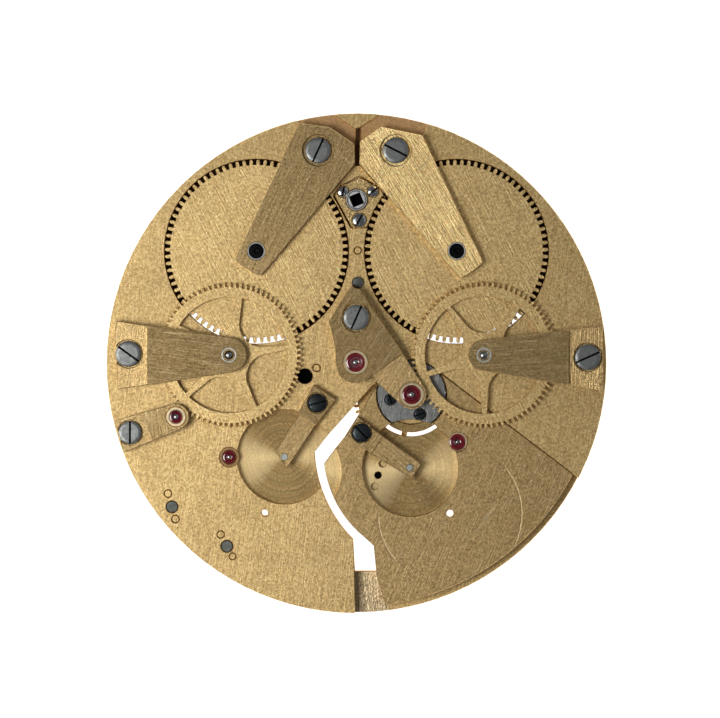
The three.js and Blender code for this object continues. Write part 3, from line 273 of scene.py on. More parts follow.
def brass(name, tone=BRASS, rough=0.42, grain=1.0, brushed=None, stroke=1.0, rings=(), drift=0.12, scratches=0.35,
          lathe=None, sheen_fans=(), scores=()):
    made, tree, shader = new_finish(name)
    flat = millimetres(tree)
    speck = noise(tree, flat, 4.6, 2.0, 0.8)
    fine = noise(tree, flat, 10.0, 2.0, 0.6)
    clouds = noise(tree, flat, 0.22, 4.0, 0.6)
    tint = mixed(tree, spread(tree, clouds, 0.35, 0.7, 0, drift * 2), tone, dimmed(tone, 0.72))
    dark = maths(tree, "MULTIPLY", spread(tree, speck, 0.52, 0.3), 0.75 * min(grain, 1.2))
    tint = mixed(tree, dark, tint, dimmed(tone, 0.42))
    light = maths(tree, "MULTIPLY", spread(tree, speck, 0.5, 0.68), 0.95 * min(grain, 1.05))
    tint = mixed(tree, light, tint, (min(tone[0] * 1.35, 1), min(tone[1] * 1.4, 1), min(tone[2] * 1.6, 1), 1))
    pits = spread(tree, noise(tree, flat, 2.6, 2.0, 0.8), 0.7, 0.73)
    tint = mixed(tree, maths(tree, "MULTIPLY", pits, 0.7), tint, dimmed(tone, 0.2))
    height = maths(tree, "MULTIPLY", maths(tree, "ADD", speck, maths(tree, "MULTIPLY", fine, 0.8)), grain)
    if brushed is not None:
        lines = noise(tree, millimetres(tree, angle=brushed, stretch=(0.16, 4.0, 1.0)), 1.6, 3.0, 0.75)
        hair = noise(tree, millimetres(tree, angle=brushed + 0.05, stretch=(0.3, 9.0, 1.0)), 1.1, 2.0)
        drawn = maths(tree, "ADD", lines, maths(tree, "MULTIPLY", hair, 0.6))
        height = maths(tree, "ADD", height, maths(tree, "MULTIPLY", drawn, 2.6 * stroke))
        tint = mixed(tree, spread(tree, lines, 0.5, 0.3, 0, min(0.6 * stroke, 1)), tint, dimmed(tone, 0.5))
        tint = mixed(tree, spread(tree, lines, 0.54, 0.72, 0, min(0.55 * stroke, 1)), tint, (1.0, 0.8, 0.45, 1))
    for centre, radius, level in rings:
        inside, turned_lines, shade = turned_rings(tree, centre, radius, level)
        ringed = maths(tree, "MULTIPLY", maths(tree, "MULTIPLY", turned_lines, inside), 4.0)
        height = maths(tree, "ADD", height, ringed)
        tint = mixed(tree, maths(tree, "MULTIPLY", inside, shade), tint, dimmed(tone, 0.6))
    long_marks = noise(tree, millimetres(tree, angle=0.9, stretch=(0.06, 1.8, 1.0)), 1.4, 4.0, 0.75)
    cross_marks = noise(tree, millimetres(tree, angle=-0.7, stretch=(0.08, 2.0, 1.0)), 1.3, 4.0, 0.75)
    marks = maths(tree, "ADD", spread(tree, long_marks, 0.62, 0.7), spread(tree, cross_marks, 0.64, 0.72))
    for centre, radius, start, stop in scores:
        marks = maths(tree, "ADD", marks, scored(tree, centre, radius, start, stop))
    tint = mixed(tree, maths(tree, "MULTIPLY", marks, min(0.5 * scratches, 1)), tint, (1.0, 0.82, 0.5, 1))
    height = maths(tree, "SUBTRACT", height, maths(tree, "MULTIPLY", marks, scratches))
    if lathe is not None:
        parts = add_node(tree, "SeparateXYZ", {"Vector": millimetres(tree, lathe)})
        outwards = add_node(tree, "CombineXYZ", {"X": parts.outputs[0], "Y": parts.outputs[1]}).outputs[0]
        unit = add_node(tree, "VectorMath", {0: outwards}, operation="NORMALIZE").outputs["Vector"]
        tree.links.new(unit, shader.inputs["Tangent"])
        shader.inputs["Anisotropic"].default_value = 0.9
        r = add_node(tree, "VectorMath", {0: outwards}, operation="LENGTH").outputs["Value"]
        # Painted highlight: each sector is lightened towards pale brass where the turned floor throws back the light in
        # bright fans.
        for start, stop, share in sheen_fans:
            painted_sheen = maths(tree, "MULTIPLY", sector(tree, outwards, r, start, stop), share)
            tint = mixed(tree, painted_sheen, tint, (1.0, 0.79, 0.42, 1))
    tree.links.new(tint, shader.inputs["Base Color"])
    shader.inputs["Metallic"].default_value = 1.0
    worn = spread(tree, clouds, 0.3, 0.75, rough - 0.04, rough + 0.06)
    tree.links.new(worn, shader.inputs["Roughness"])
    tree.links.new(bumped(tree, height, 0.8, 0.02), shader.inputs["Normal"])
    return made


def sector(tree, across, r, start, stop):
    """1 between two bearings in degrees, with soft ends."""
    way, half = math.radians((start + stop) / 2), math.radians((stop - start) / 2)
    along = add_node(tree, "VectorMath", {0: across, 1: (math.cos(way), math.sin(way), 0)},
                     operation="DOT_PRODUCT").outputs["Value"]
    return spread(tree, maths(tree, "DIVIDE", along, r), math.cos(half), math.cos(half * 0.62))


def scored(tree, centre, radius, start, stop):
    """A thin scratched arc about a centre, between two bearings in degrees."""
    parts = add_node(tree, "SeparateXYZ", {"Vector": millimetres(tree, centre)})
    across = add_node(tree, "CombineXYZ", {"X": parts.outputs[0], "Y": parts.outputs[1]}).outputs[0]
    r = add_node(tree, "VectorMath", {0: across}, operation="LENGTH").outputs["Value"]
    off = maths(tree, "ABSOLUTE", maths(tree, "SUBTRACT", r, radius))
    return maths(tree, "MULTIPLY", spread(tree, off, 0.09, 0.03), sector(tree, across, r, start, stop))


def turned_rings(tree, centre, radius, level):
    """A mask that is 1 inside a turned recess, the ring pattern, and how much it darkens."""
    place = millimetres(tree, centre)
    parts = add_node(tree, "SeparateXYZ", {"Vector": place})
    across = add_node(tree, "CombineXYZ", {"X": parts.outputs[0], "Y": parts.outputs[1]}).outputs[0]
    r = add_node(tree, "VectorMath", {0: across}, operation="LENGTH").outputs["Value"]
    inside = maths(tree, "MULTIPLY", maths(tree, "LESS_THAN", r, radius),
                   maths(tree, "LESS_THAN", parts.outputs[2], level))
    angle_free = add_node(tree, "CombineXYZ", {"X": r}).outputs[0]
    rings = noise(tree, angle_free, 9.0, 3.0, 0.7)
    broad = noise(tree, angle_free, 3.2, 3.0, 0.6)
    return inside, rings, spread(tree, broad, 0.42, 0.6, 0.0, 0.75)


# %% [markdown]
# Steel here is of three kinds: grey screw heads that have been handled and lightly pitted, small screws
# left dark by bluing, and turned arbors. All are metals with a low, neutral colour.

# %% Steel
def steel(name, tone, rough, pitted=0.5, brushed=None, grain=1.0):
    made, tree, shader = new_finish(name)
    flat = millimetres(tree)
    mottle = noise(tree, flat, 1.6, 4.0, 0.65)
    pits = spread(tree, noise(tree, flat, 4.5, 2.0, 0.7), 0.6, 0.7)
    tint = mixed(tree, spread(tree, mottle, 0.35, 0.7), tone, dimmed(tone, 0.6))
    tint = mixed(tree, maths(tree, "MULTIPLY", pits, pitted), tint, dimmed(tone, 0.15))
    height = maths(tree, "SUBTRACT", maths(tree, "MULTIPLY", mottle, grain), pits)
    if brushed is not None:
        lines = noise(tree, millimetres(tree, angle=brushed, stretch=(0.15, 7.0, 1.0)), 2.4, 3.0)
        height = maths(tree, "ADD", height, maths(tree, "MULTIPLY", lines, 2.0))
        tint = mixed(tree, spread(tree, lines, 0.35, 0.7, 0.0, 0.5), tint, dimmed(tone, 0.5))
    tree.links.new(tint, shader.inputs["Base Color"])
    shader.inputs["Metallic"].default_value = 1.0
    tree.links.new(spread(tree, mottle, 0.3, 0.7, rough - 0.06, rough + 0.1), shader.inputs["Roughness"])
    tree.links.new(bumped(tree, height, 0.5, 0.012), shader.inputs["Normal"])
    return made


# %% [markdown]
# The jewels are pierced synthetic ruby, a deep red glass with a polished face and a dark rim where the
# stone meets its setting. A little drift in the red keeps the stones from looking printed.

# %% Ruby
def ruby(name):
    made, tree, shader = new_finish(name)
    cloud = noise(tree, millimetres(tree), 1.3, 2.0)
    tint = mixed(tree, spread(tree, cloud, 0.35, 0.7), colour(0.3, 0.008, 0.022), colour(0.11, 0.003, 0.01))
    tree.links.new(tint, shader.inputs["Base Color"])
    shader.inputs["Roughness"].default_value = 0.06
    shader.inputs["IOR"].default_value = 1.76
    shader.inputs["Coat Weight"].default_value = 1.0
    shader.inputs["Coat Roughness"].default_value = 0.03
    return made


RUBY = ruby("ruby")
print("finishes ready")

# %% [markdown]
# ## Shaping helpers
# Three ways of making metal cover the whole movement. A turned piece is half of its section spun about
# its axis, as on a lathe. A flat piece is an outline pushed up to its thickness, as sawn from sheet. A
# piece whose outline the CAD already holds starts from a copy of that solid. Then every sharp edge is
# broken with a small bevel, which is what catches the light on real clockwork.

# %% Turned, flat and copied metal
def turned(centre, profile, closed=False, steps=48):
    bm = bmesh.new()
    verts = [bm.verts.new((r, 0, z)) for r, z in profile]
    edges = [bm.edges.new(pair) for pair in zip(verts, verts[1:])]
    if closed:
        edges.append(bm.edges.new((verts[-1], verts[0])))
    bmesh.ops.spin(bm, geom=verts + edges, cent=(0, 0, 0), axis=(0, 0, 1), angle=2 * math.pi,
                   steps=steps, use_merge=True)
    bmesh.ops.remove_doubles(bm, verts=bm.verts, dist=1e-4)
    bmesh.ops.recalc_face_normals(bm, faces=bm.faces)
    bmesh.ops.translate(bm, vec=(centre[0], centre[1], 0), verts=bm.verts)
    return bm


def raised(bm, low, high):
    """Gives flat faces at z = 0 a thickness."""
    grown = bmesh.ops.extrude_face_region(bm, geom=bm.faces[:])
    tops = [v for v in grown["geom"] if isinstance(v, bmesh.types.BMVert)]
    bmesh.ops.translate(bm, vec=(0, 0, high - low), verts=tops)
    bmesh.ops.translate(bm, vec=(0, 0, low), verts=bm.verts)
    bmesh.ops.recalc_face_normals(bm, faces=bm.faces)
    return bm


def slab(points, low, high):
    bm = bmesh.new()
    bm.faces.new([bm.verts.new((p[0], p[1], 0)) for p in points])
    return raised(bm, low, high)


def arc(c, r, start, stop, steps):
    return [polar(c, r, start + (stop - start) * i / steps) for i in range(steps + 1)]


def round_tool(centre, r, low, high, steps=48):
    return turned(centre, [(0, low), (r, low), (r, high), (0, high)], steps=steps)


def groove_tool(centre, inner, outer, low, high):
    return turned(centre, [(inner, low), (outer, low), (outer, high), (inner, high)], closed=True)


def sink_tool(centre, r_low, r_high, low, high):
    """A cone, open side up, for countersinks."""
    return turned(centre, [(0, low), (r_low, low), (r_high, high), (0, high)])


def together(*parts):
    """Several bmeshes as one."""
    joined = bmesh.new()
    for bm in parts:
        scrap = bpy.data.meshes.new("scrap")
        bm.to_mesh(scrap)
        bm.free()
        joined.from_mesh(scrap)
        bpy.data.meshes.remove(scrap)
    return joined


def cad_copy(node):
    bm = bmesh.new()
    bm.from_mesh(frame["nodes"][node].data)
    bmesh.ops.scale(bm, vec=(1 / MM, 1 / MM, 1 / MM), verts=bm.verts)
    bmesh.ops.remove_doubles(bm, verts=bm.verts, dist=0.003)
    bmesh.ops.dissolve_limit(bm, angle_limit=math.radians(0.5), verts=bm.verts, edges=bm.edges)
    bmesh.ops.recalc_face_normals(bm, faces=bm.faces)
    return bm


def broken(bm, width, segments=1, above=-1.0):
    """Bevels the outward corners that lie higher than a level."""
    bmesh.ops.remove_doubles(bm, verts=bm.verts, dist=0.004)
    bmesh.ops.triangulate(bm, faces=[f for f in bm.faces if len(f.verts) > 4])
    corners = [e for e in bm.edges if len(e.link_faces) == 2 and e.calc_face_angle(0) > math.radians(50)
               and e.is_convex and min(v.co.z for v in e.verts) > above
               and e.calc_length() > 0.01]
    bmesh.ops.bevel(bm, geom=corners, offset=width, offset_type="OFFSET", segments=segments, profile=0.5,
                    affect="EDGES", material=-1, clamp_overlap=False)
    bmesh.ops.recalc_face_normals(bm, faces=bm.faces)
    return bm


# %% [markdown]
# ## Screws
# A clock screw head is turned with a flat polished or stoned top, a thin bright chamfer, and one sawn
# slot. The head comes from a spin and the slot from a boolean with a thin box. The slot's walls and
# floor get their own nearly black finish, which is painted shade for the dark inside of the slot.

# %% Screws
# Painted shade: a nearly black finish for the insides of screw slots and small holes, where little light reaches.
SLOT_SHADE = steel("slot_painted_shade", colour(0.012, 0.011, 0.01), 0.7, pitted=0.2)
SCREW_GREY = steel("screw_grey", colour(0.36, 0.37, 0.355), 0.38, pitted=0.75, grain=1.4)
SCREW_BLUED = steel("screw_blued", colour(0.05, 0.058, 0.062), 0.3, pitted=0.4)
SCREW_BRIGHT = steel("screw_bright", colour(0.7, 0.71, 0.72), 0.12, pitted=0.15)


def screw(node, finish, angle, slot_width, slot_depth, dome=0.0, chamfer=0.09, upside=False):
    low, high = span(node)
    centre = middle(node)
    lo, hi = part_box(node)
    head = (hi[0] - lo[0]) / 2 / MM
    thin = head * 0.45
    under = high - head * 0.42
    way = -1 if upside else 1
    profile = [(0, low), (thin - 0.06, low), (thin, low + 0.06), (thin, under), (head - 0.03, under),
               (head, under + 0.03), (head, high - chamfer), (head - chamfer * 0.35, high - chamfer * 0.35),
               (head - chamfer, high)]
    rings = 4
    profile += [((head - chamfer) * (1 - i / rings), high + dome * (1 - (1 - i / rings) ** 2)) for i in range(1, rings + 1)]
    if upside:
        profile = [(r, low + high - z) for r, z in profile]
    bm = turned(centre, profile, steps=64)
    face = low if upside else high
    tool = bmesh.new()
    bmesh.ops.create_cube(tool, size=1.0)
    bmesh.ops.scale(tool, vec=(3 * head, slot_width, 2 * slot_depth), verts=tool.verts)
    bmesh.ops.rotate(tool, cent=(0, 0, 0), matrix=Matrix.Rotation(math.radians(angle), 3, "Z"), verts=tool.verts)
    bmesh.ops.translate(tool, vec=(centre[0], centre[1], face + way * dome), verts=tool.verts)
    bm = carve(bm, tool)
    made = piece(f"{node}_fine", bm, finish, node)
    # The slot's walls and floor take the painted shade.
    made.data.materials.append(SLOT_SHADE)
    across = Vector((-math.sin(math.radians(angle)), math.cos(math.radians(angle))))
    for face_made in made.data.polygons:
        mid = face_made.center / MM
        if abs((mid.to_2d() - centre).dot(across)) < slot_width * 0.51 and abs(mid.z - face) < slot_depth * 1.05 \
                and (abs(face_made.normal.z) < 0.5 or abs(mid.z - face) > slot_depth * 0.8):
            face_made.material_index = 1
    return made


BIG_SLOTS = {"left_barrel_cock_screw": 65, "right_barrel_cock_screw": -27, "centre_cock_screw": 66,
             "left_second_cock_screw": -36, "right_second_cock_screw": 24, "left_third_cock_screw": 90}
for node, angle in BIG_SLOTS.items():
    screw(node, SCREW_GREY, angle, 0.2, 0.4)
for node, angle in {"left_escape_cock_screw": 15, "right_escape_cock_screw": -45}.items():
    screw(node, SCREW_BLUED, angle, 0.15, 0.3, dome=0.04)
for node, angle in {"platform_cap_screw_lower": 20, "platform_cap_screw_upper": 110}.items():
    screw(node, SCREW_BLUED, angle, 0.13, 0.2, chamfer=0.05)
for node, angle in {"winding_plate_screw_left": 75, "winding_plate_screw_right": 40,
                    "winding_plate_screw_lower": 60}.items():
    screw(node, SCREW_BRIGHT, angle, 0.18, 0.26, dome=0.05, chamfer=0.06)
for node, angle in {"barrel_bridge_screw_upper": 30, "barrel_bridge_screw_lower": 100,
                    "click_screw": 0}.items():
    screw(node, SCREW_BLUED, angle, 0.14, 0.22, chamfer=0.06, upside=True)

# %% [markdown]
# ## The main plate
# One thick disc of brass carries everything. It is sunk for the barrels, cut through by the slot that
# frees the platform, and turned out for the left balance. The CAD solid has all of that to size, so a
# copy of it is the stock. What is added is what a hand adds later: countersinks, the small seats of
# steady pins and posts, and a broken edge all round.

# %% Pins and posts on the plate
PINS = {"post_left": ((-18.45, -14.35), 0.55), "post_left_pin_upper": ((-18.86, -13.04), 0.34),
        "post_left_pin_lower": ((-18.11, -15.57), 0.34), "post_lower": ((-12.96, -18.3), 0.55),
        "post_lower_pin_upper": ((-13.58, -17.12), 0.32), "post_lower_pin_lower": ((-12.4, -19.3), 0.30),
        "rivet": ((0.12, 11.28), 0.32), "centre_pin": ((-4.0, -0.46), 0.33)}
RECESSES = {"left": (-7.22, -9.35), "right": (5.39, -10.52), "ledge": (-6.41, -10.85)}
PLATE_BRASS = brass("plate_matt", brushed=math.radians(82), stroke=0.36, scores=[((-5.75, -27.0), 7.0, 65, 115)])
PLATFORM_BRASS = brass("platform_matt", dimmed(BRASS, 0.72), brushed=math.radians(66), stroke=0.5, scratches=0.8,
                       scores=[((9.36, -15.01), 7.15, -34, 46), ((9.36, -15.01), 7.2, 178, 224)])
# Painted shade: a darker, browner brass for the pocket floors round the barrel cocks.
POCKET_SHADE = brass("pocket_painted_shade", colour(0.72, 0.44, 0.2), rough=0.5, grain=0.5, drift=0.2)
SEAT_BRASS = brass("seat_filed", colour(0.58, 0.44, 0.25), rough=0.3, brushed=math.radians(95), stroke=1.5)
# For each recess: a tone, then sectors in degrees, each with its share of painted highlight for the bright fans of the
# turned floor.
RECESS_TONE_AND_SHEEN = {"left": (1.15, [(146, 232, 0.6), (-26, 54, 0.45)]), "right": (1.12, [(166, 244, 0.85), (-36, 50, 0.45)]),
        "ledge": (1.3, [(-20, 60, 0.5)])}
SWEPT = {name: brass(f"{name}_recess_turned_painted_sheen", dimmed(BRASS, RECESS_TONE_AND_SHEEN[name][0]), rough=0.5, lathe=c, sheen_fans=RECESS_TONE_AND_SHEEN[name][1],
                     rings=[(c, 5.2, PLATE_TOP)]) for name, c in RECESSES.items()}

GROOVE = 0.07
# Dark brown: the joint colour of the grooves where pins and posts meet the plate, and painted shade on the ledge under
# the great-wheel teeth and in the narrow gap between the cock pockets.
JOINT_AND_SHADE_BROWN = brass("groove_joint_and_painted_shade", colour(0.1, 0.05, 0.02), rough=0.6, grain=0.2)
tools = [groove_tool(c, r, r + GROOVE, PLATE_TOP - 0.12, PLATE_TOP + 1) for c, r in PINS.values()]
tools.append(round_tool((-9.18, -14.97), 0.34, -1, PLATE_TOP + 1, 32))
tools.append(sink_tool((-5.16, -1.29), 0.6, 0.85, PLATE_TOP - 0.2, PLATE_TOP + 0.05))
tools.append(round_tool(middle("left_fourth_jewel"), 1.0, PLATE_TOP - 0.25, PLATE_TOP + 1))
plate = piece("main_plate_fine", broken(carve(cad_copy("main_plate"), together(*tools)), 0.05), PLATE_BRASS,
              "main_plate")
COCK_SEAT = span("left_barrel_cock")[0]
refinish(plate, JOINT_AND_SHADE_BROWN, lambda mid, up: mid.z < PLATE_TOP - 0.02
         and any(near(mid, c, r + GROOVE + 0.02) for c, r in PINS.values()))
# Painted shade: the faces of the countersink at (-5.16, -1.29) are made nearly black.
refinish(plate, SLOT_SHADE, lambda mid, up: mid.z < PLATE_TOP - 0.03 and near(mid, (-5.16, -1.29), 0.72))
# Painted shade: the low faces round the great-wheel openings, under the teeth, are made dark brown.
refinish(plate, JOINT_AND_SHADE_BROWN, lambda mid, up: mid.z < PLATE_TOP - 0.5 and abs(mid.y - BARREL["left"].y) < 11
         and any(near(mid, BARREL[side], 9.9) for side in SIDES))
# Painted shade: the faces in the narrow gap between the barrel cocks' pockets are made dark brown.
refinish(plate, JOINT_AND_SHADE_BROWN, lambda mid, up: -0.3 < mid.x < 0.5 and 19.7 < mid.y < 23.3)
# The pocket floors round the barrel cocks take the painted shade.
refinish(plate, POCKET_SHADE, lambda mid, up: mid.y > 18.5 and mid.z < PLATE_TOP - 0.03 and mid.z > COCK_SEAT - 0.3)
refinish(plate, SEAT_BRASS, lambda mid, up: -0.6 < mid.x < 2.9 and mid.y < -20.5 and 2.1 < mid.z < PLATE_TOP - 0.03)
refinish(plate, SWEPT["left"], lambda mid, up: near(mid, RECESSES["left"], 4.8) and up.z > 0.9
         and 2.5 < mid.z < PLATE_TOP - 0.3)
fourth = middle("right_fourth_jewel")
platform = carve(cad_copy("platform"), together(round_tool((9.36, -15.01), 0.36, 0, PLATE_TOP + 1, 32),
                                               round_tool(fourth, 0.97, PLATE_TOP - 0.35, PLATE_TOP + 1)))
platform = piece("platform_fine", broken(platform, 0.05), PLATFORM_BRASS, "platform")
refinish(platform, SWEPT["right"], lambda mid, up: near(mid, RECESSES["right"], 4.9) and up.z > 0.9
         and 2.5 < mid.z < PLATE_TOP - 0.3)
refinish(platform, SWEPT["ledge"], lambda mid, up: near(mid, RECESSES["ledge"], 5.0) and mid.x < -0.9 and up.z > 0.9
         and 2.5 < mid.z < PLATE_TOP - 0.3)
# Painted shade: the low faces of the small hole at (2.15, -11.21) are made nearly black.
refinish(platform, SLOT_SHADE, lambda mid, up: near(mid, (2.15, -11.21), 0.4) and mid.z < PLATE_TOP - 1.1)

# %% [markdown]
# ## Wheels
# A wheel tooth is epicycloidal: straight flanks up to the pitch line and a rounded point above it, with
# square-bottomed gaps. One slice of rim with one tooth is drawn flat, spun round into the full wheel,
# then given its thickness, so the sides between slices never exist inside the metal.

# %% Gear wheels
WHEEL_BRASS = brass("wheel_matt", dimmed(BRASS, 1.04), rough=0.4, brushed=math.radians(-64), stroke=0.5, scratches=0.6)


def flat_gear(centre, teeth, pitch_r, phase, inner, tooth=0.5, deep=1.5, rounded=True):
    step = 2 * math.pi / teeth
    module = 2 * pitch_r / teeth
    half = step * tooth / 2
    flank = [(pitch_r - deep * module, half * 1.05), (pitch_r, half), (pitch_r + 0.45 * module, half * 0.86),
             (pitch_r + 0.85 * module, half * 0.52), (pitch_r + 0.98 * module, half * 0.2)]
    right = [(inner, -step / 2), (flank[0][0], -step / 2)] + [(r, -a) for r, a in flank]
    left = [(r, -a) for r, a in reversed(right)]
    bm = bmesh.new()
    outline = [bm.verts.new((*polar((0, 0), r, a + phase), 0)) for r, a in right + left]
    bm.faces.new(outline)
    bmesh.ops.spin(bm, geom=bm.verts[:] + bm.edges[:] + bm.faces[:], cent=(0, 0, 0), axis=(0, 0, 1),
                   angle=2 * math.pi - step, steps=teeth - 1, use_duplicate=True)
    bmesh.ops.remove_doubles(bm, verts=bm.verts, dist=1e-4)
    bmesh.ops.translate(bm, vec=(centre[0], centre[1], 0), verts=bm.verts)
    return bm


def gear(centre, teeth, pitch_r, phase, inner, low, high, edge=0.03, **shape):
    bm = raised(flat_gear(centre, teeth, pitch_r, phase, inner, **shape), low, high)
    return broken(bm, edge)


GREAT_TEETH = 80
PINION_LEAVES = 16
SECOND_TEETH = 80
THIRD_LEAVES = 12
THIRD_TEETH = 60
CENTRE_LEAVES = 8
RATCHET_TEETH = 40
WINDING_TEETH = 18


def pitch_radius(a, b, teeth_a, teeth_b):
    return (a - b).length * teeth_a / (teeth_a + teeth_b)


ARBOR_STEEL = steel("arbor_steel", colour(0.5, 0.49, 0.47), 0.24, pitted=0.2)
DARK_STEEL = steel("dark_steel", colour(0.02, 0.021, 0.022), 0.25, pitted=0.3)
for side in SIDES:
    c = BARREL[side]
    low, high = span(f"{side}_barrel")
    wheel_low = high - 0.75
    wheel = gear(c, GREAT_TEETH, pitch_radius(c, SECOND[side], GREAT_TEETH, PINION_LEAVES),
                 bearing(c, SECOND[side]), 0.77, wheel_low, high, deep=1.4)
    piece(f"{side}_great_wheel", wheel, WHEEL_BRASS, f"{side}_barrel")
    drum = turned(c, [(7.9, low), (8.3, low), (8.3, wheel_low - 0.002), (7.9, wheel_low - 0.002)], closed=True, steps=96)
    piece(f"{side}_drum", drum, WHEEL_BRASS, f"{side}_barrel")

# %% [markdown]
# The second wheels are crossed out into five spokes that swell into the hub. The windows are cut from
# the full wheel with five outline tools, and each window's two inner corners are an arc, as a file leaves.

# %% Second wheels
SPOKES = 5
SPOKE_ANGLE = {"left": 79.6, "right": 126.8}


def window_outline(c, rim, hub, mid, rim_half, hub_half, fillet):
    """The opening between two spokes. Its inner end is one arc, which leaves the hub round."""
    sector = math.pi / SPOKES
    outer = sector - math.asin(rim_half / rim)
    inner = sector - math.asin(hub_half / (hub + fillet))
    corner = polar((0, 0), hub + fillet, inner)
    reach = (corner.length_squared - hub ** 2) / (2 * (corner.x - hub))
    bend = polar(c, reach, mid)
    turn = math.atan2(corner.y, corner.x - reach)
    bottom = arc(bend, reach - hub, mid + turn, mid + 2 * math.pi - turn, 14)
    return arc(c, rim, mid - outer, mid + outer, 18) + bottom


for side in SIDES:
    c = SECOND[side]
    low, high = span(f"{side}_second_wheel")
    pitch = pitch_radius(c, THIRD[side], SECOND_TEETH, THIRD_LEAVES)
    wheel = raised(flat_gear(c, SECOND_TEETH, pitch, bearing(c, THIRD[side]), 0.8, deep=1.45), low, high)
    windows = [slab(window_outline(c, pitch - 1.28, 2.25, math.radians(SPOKE_ANGLE[side]) + (i + 0.5) * 2 * math.pi / SPOKES,
                                   0.26, 0.42, 0.95), low - 1, high + 1) for i in range(SPOKES)]
    wheel = broken(carve(wheel, together(*windows)), 0.035)
    piece(f"{side}_second_wheel_fine", wheel, WHEEL_BRASS, f"{side}_second_wheel")

# %% [markdown]
# Pinions are cut from the solid steel of their arbors. The leaves are a little gear, and the arbor is
# one turned profile with shoulders and a round-ended pivot.

# %% Arbors and pinions
def pivot_profile(low, high, steps):
    """A shaft: (radius, height) steps upwards, with round ends."""
    r0 = steps[0][0]
    r1 = steps[-1][0]
    points = [(0, low), (r0 * 0.7, low + 0.03), (r0, low + 0.12)]
    for (r, top), following in zip(steps, steps[1:] + [None]):
        points.append((r, top if following else high - 0.14))
        if following:
            points.append((following[0], top))
    points += [(r1 * 0.92, high - 0.06), (r1 * 0.6, high - 0.015), (0, high)]
    return points


for side in SIDES:
    c = SECOND[side]
    node = f"{side}_second_arbor"
    low, high = span(node)
    leaves = gear(c, PINION_LEAVES, pitch_radius(c, BARREL[side], PINION_LEAVES, GREAT_TEETH),
                  bearing(c, BARREL[side]) + math.pi / PINION_LEAVES, 0.5, 3.4, 4.49, edge=0.02, tooth=0.42)
    piece(f"{side}_second_pinion", leaves, ARBOR_STEEL, node)
    shaft = turned(c, pivot_profile(low, high, [(0.26, 3.5), (0.78, 5.05), (0.34, 0)]))
    piece(f"{side}_second_shaft", shaft, ARBOR_STEEL, node)
    c = THIRD[side]
    node = f"{side}_third_arbor"
    low, high = span(node)
    leaves = gear(c, THIRD_LEAVES, pitch_radius(c, SECOND[side], THIRD_LEAVES, SECOND_TEETH),
                  bearing(c, SECOND[side]) + math.pi / THIRD_LEAVES, 0.3, 4.4, 5.05, edge=0.02, tooth=0.42)
    piece(f"{side}_third_pinion", leaves, ARBOR_STEEL, node)
    shaft = turned(c, pivot_profile(low, high, [(0.26, 0.8), (0.58, 1.35), (0.45, 5.05), (0.26, 0)]))
    piece(f"{side}_third_shaft", shaft, ARBOR_STEEL, node)
    node = f"{side}_third_wheel"
    low, high = span(node)
    pitch = pitch_radius(c, CENTRE, THIRD_TEETH, CENTRE_LEAVES) if side == "right" else \
        pitch_radius(THIRD["right"], CENTRE, THIRD_TEETH, CENTRE_LEAVES)
    wheel = raised(flat_gear(c, THIRD_TEETH, pitch, bearing(c, CENTRE), 0.6), low, high)
    windows = [slab(window_outline(c, pitch - 0.8, 1.55, math.radians(-100) + (i + 0.5) * 2 * math.pi / SPOKES,
                                   0.24, 0.34, 0.6), low - 1, high + 1) for i in range(SPOKES)]
    piece(f"{side}_third_wheel_fine", broken(carve(wheel, together(*windows)), 0.03), WHEEL_BRASS, node)
    c = BARREL[side]
    node = f"{side}_barrel_arbor"
    low, high = span(node)
    shaft = turned(c, [(0, low), (0.44, low), (0.5, low + 0.06), (0.5, 0.8), (0.64, 0.8), (0.64, 1.3), (0.72, 1.3),
                       (0.72, 1.75), (1.8, 1.75), (1.8, 3.35), (0.72, 3.35), (0.72, high - 0.08), (0.66, high),
                       (0.3, high), (0.22, high - 0.1), (0, high - 0.12)])
    piece(f"{side}_barrel_arbor_fine", shaft, DARK_STEEL, node)

centre_low, centre_high = span("centre_arbor")
piece("centre_pinion", gear(CENTRE, CENTRE_LEAVES, pitch_radius(CENTRE, THIRD["right"], CENTRE_LEAVES, THIRD_TEETH),
                            bearing(CENTRE, THIRD["right"]) + math.pi / CENTRE_LEAVES, 0.3, 0.82, 1.35, edge=0.02,
                            tooth=0.42), ARBOR_STEEL, "centre_arbor")
piece("centre_shaft", turned(CENTRE, pivot_profile(centre_low, centre_high, [(0.26, 0.8), (0.42, 5.2), (0.26, 0)])),
      ARBOR_STEEL, "centre_arbor")
print("arbors made")

# %% [markdown]
# ## Cocks
# Cocks are the small brass arms that hold the upper pivots. Their tops are drawn lengthwise on a stone,
# so each has its own brushing angle. The outlines come from the CAD copies. A wide bright countersink
# surrounds each large screw.

# %% Cocks
def cock(node, angle, cuts=(), tone=1.0, stroke=1.0, bevel=0.06, grain=1.0, foot=None):
    bm = cad_copy(node)
    if cuts:
        bm = carve(bm, together(*cuts))
    finish = brass(f"{node}_brushed", dimmed(BRASS, tone), rough=0.36, brushed=math.radians(angle), stroke=stroke,
                   grain=grain, scratches=0.5)
    made = piece(f"{node}_fine", broken(bm, bevel), finish, node)
    if foot:
        below, above, foot_tone, foot_angle = foot
        seat = brass(f"{node}_foot", dimmed(BRASS, foot_tone), rough=0.34, brushed=math.radians(foot_angle), stroke=0.9)
        refinish(made, seat, lambda mid, up: up.z > 0.9 and below < mid.z < above)
    return made


def pierced(c, r, top, wide):
    """Opens a pivot hole and its countersink through an arm."""
    return together(round_tool(c, r, -1, 9), sink_tool(c, r, r + wide, top - wide, top + 0.001))


cock_top = span("left_barrel_cock")[1]
second_top = span("left_second_cock")[1]
third_top = span("left_third_cock")[1]
centre_top = span("centre_cock")[1]
BARREL_HOLE = 0.88
